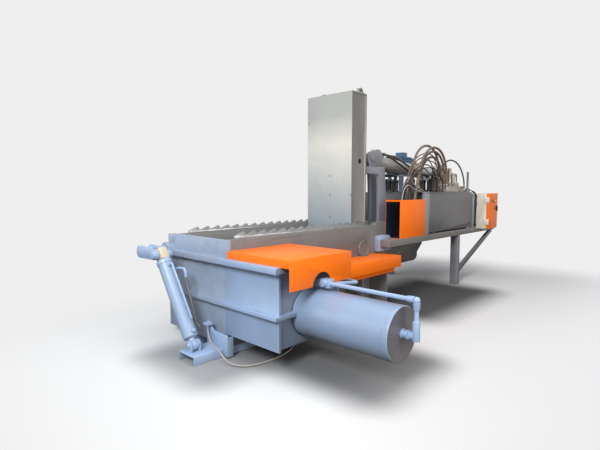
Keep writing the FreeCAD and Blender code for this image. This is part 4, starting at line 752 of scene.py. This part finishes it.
# ------------------------------ motor, fan cover and pumps
# A finned blue motor on a welded stand, with a black fan cover and a zinc-grey bell housing and
# pump. The small charge pump is black, with two bright rings round a blue face.
motor_paint = painted("motor_paint", (0.022, 0.075, 0.175), (0.12, 0.12, 0.12), 0.25, 0.34, 0.3)
dark_paint = painted("dark_paint", (0.02, 0.021, 0.024), (0.09, 0.08, 0.07), 0.3, 0.42)
zinc = worn_metal("zinc_steel", (0.42, 0.39, 0.34), (0.13, 0.095, 0.065), 0.75)
edge_broken("motor_stand", press_paint, "frame", 0.003)
edge_broken("motor", motor_paint, "frame", 0.0015)
edge_broken("motor_fan_cover", dark_paint, "frame", 0.0015)
edge_broken("main_pump", zinc, "frame", 0.003)
edge_broken("charge_pump", dark_paint, "frame", 0.003)

chrome_ring = worn_metal("chrome_ring", (0.80, 0.80, 0.82), (0.5, 0.48, 0.45), 0.1, 0.02)
pump_axis = (-0.38, 1.69)
for k, (x, radius) in enumerate(((3.7668, 0.056), (3.7672, 0.040))):
    round_ring(f"charge_pump_ring_{k}", (x, *pump_axis), (0.0, math.pi / 2, 0.0), radius, 0.0055, (64, 12),
               chrome_ring)
round_piece("charge_pump_face", (3.7690, *pump_axis), (3.7805, *pump_axis), 0.038, motor_paint, "frame", 40)

# ------------------------------ manifold and valves
# Zinc-plated manifold with four valve stacks of uneven height, each with two solenoids.
# Tall grey cartridges, a thin flange and steel pipes stand among them.
for node in ("manifold", "valve_stacks"):
    edge_broken(node, zinc, "frame", 0.002)
cartridge_steel = worn_metal("cartridge_steel", (0.42, 0.40, 0.37), (0.13, 0.10, 0.075), 0.6)
seat_z = 1.545
for k, (x, y, top) in enumerate([(4.06, -0.335, 1.86), (4.12, -0.50, 1.80), (4.215, -0.33, 1.84),
                                 (4.29, -0.49, 1.83), (4.37, -0.33, 1.88), (4.45, -0.47, 1.76),
                                 (4.525, -0.32, 1.72)]):
    tall = top - seat_z
    turned(f"valve_cartridge_{k}", (x, y, seat_z), (x, y, top),
           [(0.0, 0.026), (tall - 0.040, 0.026), (tall - 0.035, 0.030), (tall - 0.020, 0.030),
            (tall - 0.015, 0.020), (tall, 0.020)], cartridge_steel, "frame", 32)
turned("valve_flange", (4.44, -0.40, 1.547), (4.44, -0.40, 1.575),
       [(0.0, 0.135), (0.003, 0.140), (0.022, 0.140), (0.025, 0.136)], zinc, "frame", 48)
for k, points in enumerate([
        [(4.52, -0.46, 1.57), (4.53, -0.46, 1.68), (4.58, -0.46, 1.74), (4.63, -0.45, 1.66),
         (4.63, -0.45, 1.54)],
        [(4.00, -0.30, 1.55), (3.99, -0.30, 1.70), (4.03, -0.26, 1.80), (4.10, -0.22, 1.72),
         (4.10, -0.22, 1.50)],
        [(3.92, -0.52, 1.46), (3.91, -0.52, 1.62), (3.86, -0.49, 1.68), (3.83, -0.44, 1.69)]]):
    bent_tube(f"pack_pipe_{k}", points, 0.011, zinc, "frame")

# ------------------------------ filters and small lines on the tank
# Six dark return filters, four of them on one pipe, and a suction pipe stand on the tank. Thin
# rubber pilot and drain lines rise from the guard, and cables run down to the cabinet.
filter_bowl = [(0.0, 0.056), (0.02, 0.056), (0.024, 0.048), (0.15, 0.048), (0.155, 0.054), (0.185, 0.054),
               (0.198, 0.044), (0.21, 0.018)]
for k, (x, y) in enumerate([(3.50, -0.27), (3.90, -0.235), (3.53, 0.26), (3.66, 0.26), (3.79, 0.26),
                            (3.92, 0.26)]):
    turned(f"return_filter_{k}", (x, y, 1.45), (x, y, 1.66), filter_bowl, dark_paint, "frame", 40)
bent_tube("return_pipe", [(3.53, 0.26, 1.65), (3.54, 0.26, 1.70), (3.60, 0.26, 1.71), (3.92, 0.26, 1.71),
                          (4.02, 0.32, 1.68), (4.06, 0.40, 1.56), (4.06, 0.41, 1.46)],
          0.026, dark_paint, "frame")
bent_tube("suction_pipe", [(3.50, -0.27, 1.64), (3.55, -0.30, 1.72), (3.66, -0.35, 1.72),
                           (3.78, -0.385, 1.69)], 0.016, dark_paint, "frame")
cable_black = plain_material("cable_black", (0.015, 0.015, 0.016), 0.55)
line_pale = plain_material("line_pale", (0.50, 0.49, 0.47), 0.45)
line_clay = plain_material("line_clay", (0.13, 0.09, 0.065), 0.6)
pilot_paints = [line_pale, cable_black, line_clay]
for k in range(9):
    x, y, rise = 2.66 + 0.032 * k, -0.615 + 0.017 * k, 0.035 * (k * 5 % 4)
    bent_tube(f"pilot_line_{k}", [(x, y, 0.90), (x - 0.01, y, 1.25), (x + 0.03, y + 0.005, 1.46 + rise),
                                  (x + 0.15, y + 0.01, 1.55 + rise), (x + 0.33, y + 0.01, 1.50 + 0.5 * rise),
                                  (3.31, y + 0.012, 1.45 + 0.3 * rise), (3.42, y + 0.015, 1.462)],
              0.0048 + 0.001 * (k % 3), pilot_paints[k % 3], "frame")
for k in range(6):
    x, y, rise = 2.72 + 0.045 * k, -0.605 + 0.03 * k, 0.05 * (k * 2 % 5)
    bent_tube(f"drain_line_{k}", [(x, y, 0.90), (x + 0.03, y, 1.25), (x + 0.12, y, 1.52 + rise),
                                  (x + 0.28, y, 1.70 + rise), (3.46, y + 0.01, 1.80 + rise),
                                  (3.70, y + 0.02, 1.74 + rise), (3.83, y + 0.02, 1.62),
                                  (3.86, y + 0.02, 1.455)],
              0.008, line_clay if k % 3 else cable_black, "frame")
for k in range(4):
    x, y = 4.902 + 0.016 * k, -0.652 - 0.006 * (k % 2)
    bent_tube(f"cabinet_cable_{k}", [(4.68, -0.52, 1.468 + 0.012 * k), (4.80, -0.60, 1.49), (x, y, 1.40),
                                     (x, y, 1.15), (x + 0.002, y, 0.93), (4.97, -0.66, 0.875)],
              0.0075, cable_black, "frame")

# ------------------------------ electric cabinet, door and controls
# Beige sheet cabinet with an orange tray door that swings on pins, a black quarter-turn latch
# and three glossy push buttons.
cabinet_paint = painted("cabinet_paint", (0.76, 0.69, 0.58), (0.45, 0.42, 0.36), 0.15, 0.34)
edge_broken("cabinet", cabinet_paint, "frame", 0.0015)
edge_broken("cabinet_door", orange_paint, "cabinet_door", 0.0015)
edge_broken("door_latch", dark_paint, "door_latch", 0.0015)
button_looks = {"start_button": ("green_button", (0.02, 0.28, 0.07)),
                "stop_button": ("red_button", (0.50, 0.015, 0.015)),
                "jog_button": ("yellow_button", (0.68, 0.45, 0.02))}
for node, (slot_name, colour) in button_looks.items():
    gloss = plain_material(node + "_gloss", colour, 0.25)
    edge_broken(node, gloss, node, 0.001, 2)

# ------------------------------ hoses
# Rubber hoses that sag between crimped ends, black, brown or pale with dust. Each follows the
# same listed points as its solid.


def rubber_group():
    """Aged hose rubber: dusty bloom over black, with a fine wrapped weave."""
    group, given, made = effect_group(
        "aged_rubber",
        [("Colour", "NodeSocketColor", None), ("Dust", "NodeSocketColor", None),
         ("Amount", "NodeSocketFloat", 0.5)],
        [("Colour", "NodeSocketColor"), ("Roughness", "NodeSocketFloat"), ("Height", "NodeSocketFloat")])
    place = group.nodes.new("ShaderNodeTexCoord").outputs["Object"]
    fine, patches = noise_mask(group, place, 14.0, 0.40, 0.70, 8.0)
    weave, _ = noise_mask(group, place, 380.0, 0.3, 0.7, 2.0)
    dusty = maths(group, "MULTIPLY", patches, given.outputs["Amount"])
    group.links.new(two_colours(group, dusty, given.outputs["Colour"], given.outputs["Dust"]),
                    made.inputs["Colour"])
    group.links.new(level(group, patches, 0.0, 1.0, 0.38, 0.75), made.inputs["Roughness"])
    group.links.new(weave, made.inputs["Height"])
    return group


aged_rubber = rubber_group()


def hose_rubber(name, colour, dust, amount):
    """Hose cover of one colour with its own dust."""
    return surface(name, aged_rubber, {"Colour": colour, "Dust": dust, "Amount": amount}, 0.15, 0.001)


black_hose = hose_rubber("black_hose", (0.018, 0.017, 0.017), (0.12, 0.10, 0.085), 0.5)
brown_hose = hose_rubber("brown_hose", (0.12, 0.082, 0.058), (0.25, 0.195, 0.15), 0.6)
pale_hose = hose_rubber("pale_hose", (0.36, 0.335, 0.31), (0.24, 0.22, 0.20), 0.5)
hose_runs = {
    "lock_hose": (0.016, [
        (-0.1, -0.25, 0.262), (-0.1, -0.25, 0.215), (-0.104, -0.272, 0.165), (-0.113, -0.315, 0.128),
        (-0.124, -0.362, 0.115), (-0.138, -0.458, 0.098), (-0.149, -0.552, 0.052),
        (-0.142, -0.645, 0.015), (-0.092, -0.742, 0.011), (0.005, -0.795, 0.011),
        (0.145, -0.815, 0.011), (0.3, -0.806, 0.011), (0.44, -0.772, 0.012), (0.562, -0.712, 0.02),
        (0.645, -0.66, 0.042), (0.695, -0.628, 0.068), (0.712, -0.616, 0.112), (0.712, -0.616, 0.15)]),
    "lid_hose_a": (0.028, [
        (2.8305, -0.049, 2.0217), (2.9301, -0.049, 2.0135), (3.06, -0.084, 1.99), (3.19, -0.13, 1.935),
        (3.33, -0.158, 1.868), (3.48, -0.166, 1.806), (3.62, -0.156, 1.764), (3.74, -0.137, 1.7445),
        (3.8409, -0.1299, 1.7323), (3.9406, -0.1299, 1.7241)]),
    "lid_hose_b": (0.028, [
        (3.0995, -0.049, 1.9996), (3.1992, -0.049, 1.9914), (3.32, -0.08, 1.968), (3.44, -0.122, 1.922),
        (3.56, -0.148, 1.863), (3.68, -0.15, 1.8206), (3.7911, -0.15, 1.8114)]),
    "arch_hose_1": (0.034, [
        (3.984, -0.585, 1.512), (3.984, -0.585, 1.7), (3.94, -0.587, 1.88), (3.82, -0.588, 2.03),
        (3.64, -0.587, 2.102), (3.44, -0.586, 2.08), (3.27, -0.586, 1.97), (3.16, -0.587, 1.8),
        (3.09, -0.588, 1.6), (3.03, -0.588, 1.4), (2.98, -0.587, 1.2), (2.96, -0.585, 1.03),
        (2.96, -0.585, 0.9)]),
    "arch_hose_2": (0.034, [
        (3.984, -0.545, 1.512), (3.984, -0.545, 1.68), (3.95, -0.546, 1.85), (3.85, -0.547, 1.98),
        (3.69, -0.546, 2.05), (3.51, -0.546, 2.03), (3.35, -0.546, 1.935), (3.24, -0.546, 1.78),
        (3.165, -0.547, 1.59), (3.11, -0.547, 1.39), (3.07, -0.546, 1.19), (3.055, -0.545, 1.03),
        (3.055, -0.545, 0.9)]),
    "arch_hose_3": (0.034, [
        (3.984, -0.505, 1.512), (3.984, -0.505, 1.665), (3.955, -0.503, 1.815), (3.86, -0.501, 1.925),
        (3.715, -0.5, 1.975), (3.555, -0.501, 1.955), (3.42, -0.502, 1.865), (3.325, -0.503, 1.72),
        (3.255, -0.504, 1.545), (3.195, -0.505, 1.36), (3.145, -0.505, 1.18), (3.125, -0.505, 1.03),
        (3.125, -0.505, 0.9)]),
    "arch_hose_4": (0.034, [
        (3.984, -0.465, 1.512), (3.984, -0.465, 1.71), (3.95, -0.466, 1.9), (3.83, -0.466, 2.06),
        (3.64, -0.465, 2.14), (3.43, -0.464, 2.11), (3.26, -0.464, 1.99), (3.17, -0.465, 1.81),
        (3.13, -0.466, 1.61), (3.1, -0.466, 1.4), (3.04, -0.466, 1.2), (3.01, -0.465, 1.03),
        (3.01, -0.465, 0.9)]),
    "valve_hose": (0.023, [
        (4.215, -0.41, 1.777), (4.215, -0.41, 1.85), (4.262, -0.428, 1.922), (4.352, -0.454, 1.962),
        (4.462, -0.486, 1.95), (4.562, -0.515, 1.888), (4.632, -0.538, 1.788), (4.67, -0.552, 1.672),
        (4.683, -0.56, 1.58), (4.683, -0.56, 1.512)]),
}
hose_covers = {"lock_hose": pale_hose, "lid_hose_a": black_hose, "lid_hose_b": black_hose,
               "valve_hose": black_hose}


def hose_run(name, diameter, points, material, body):
    """One hose as a smooth curve that passes near its given points."""
    curve = bpy.data.curves.new(name + "_cover", "CURVE")
    curve.dimensions = "3D"
    curve.bevel_depth = diameter / 2
    curve.bevel_resolution = 6
    curve.resolution_u = 8
    curve.use_fill_caps = True
    line = curve.splines.new("NURBS")
    line.points.add(len(points) - 1)
    for point, place in zip(line.points, points):
        point.co = (*place, 1.0)
    line.order_u = 3
    line.use_endpoint_u = True
    obj = bpy.data.objects.new(name + "_cover", curve)
    bpy.context.scene.collection.objects.link(obj)
    curve.materials.append(material)
    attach(obj, body)
    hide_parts(name)
    pick(obj)
    bpy.context.view_layer.update()


def crimp(name, end, inward, diameter, body):
    """Swaged ferrule and nut round a hose's end."""
    end, inward = Vector(end), Vector(inward)
    along = (inward - end).normalized()
    radius = diameter / 2
    turned(name, end, end + along, [(0.0, radius + 0.003), (0.006, radius + 0.005), (0.020, radius + 0.005),
                                    (0.022, radius + 0.002), (0.026, radius + 0.004), (0.058, radius + 0.004),
                                    (0.062, radius + 0.001)], zinc, body, 32)
    hex_head(name + "_nut", end, along, diameter + 0.014, 0.022, zinc, body)


for name, (diameter, points) in hose_runs.items():
    body = "lid_barrel" if name.startswith("lid_") else "frame"
    hose_run(name, diameter, points, hose_covers.get(name, brown_hose), body)
    if name != "lock_hose":
        crimp(name + "_start", points[0], points[1], diameter, body)
        crimp(name + "_end", points[-1], points[-2], diameter, body)
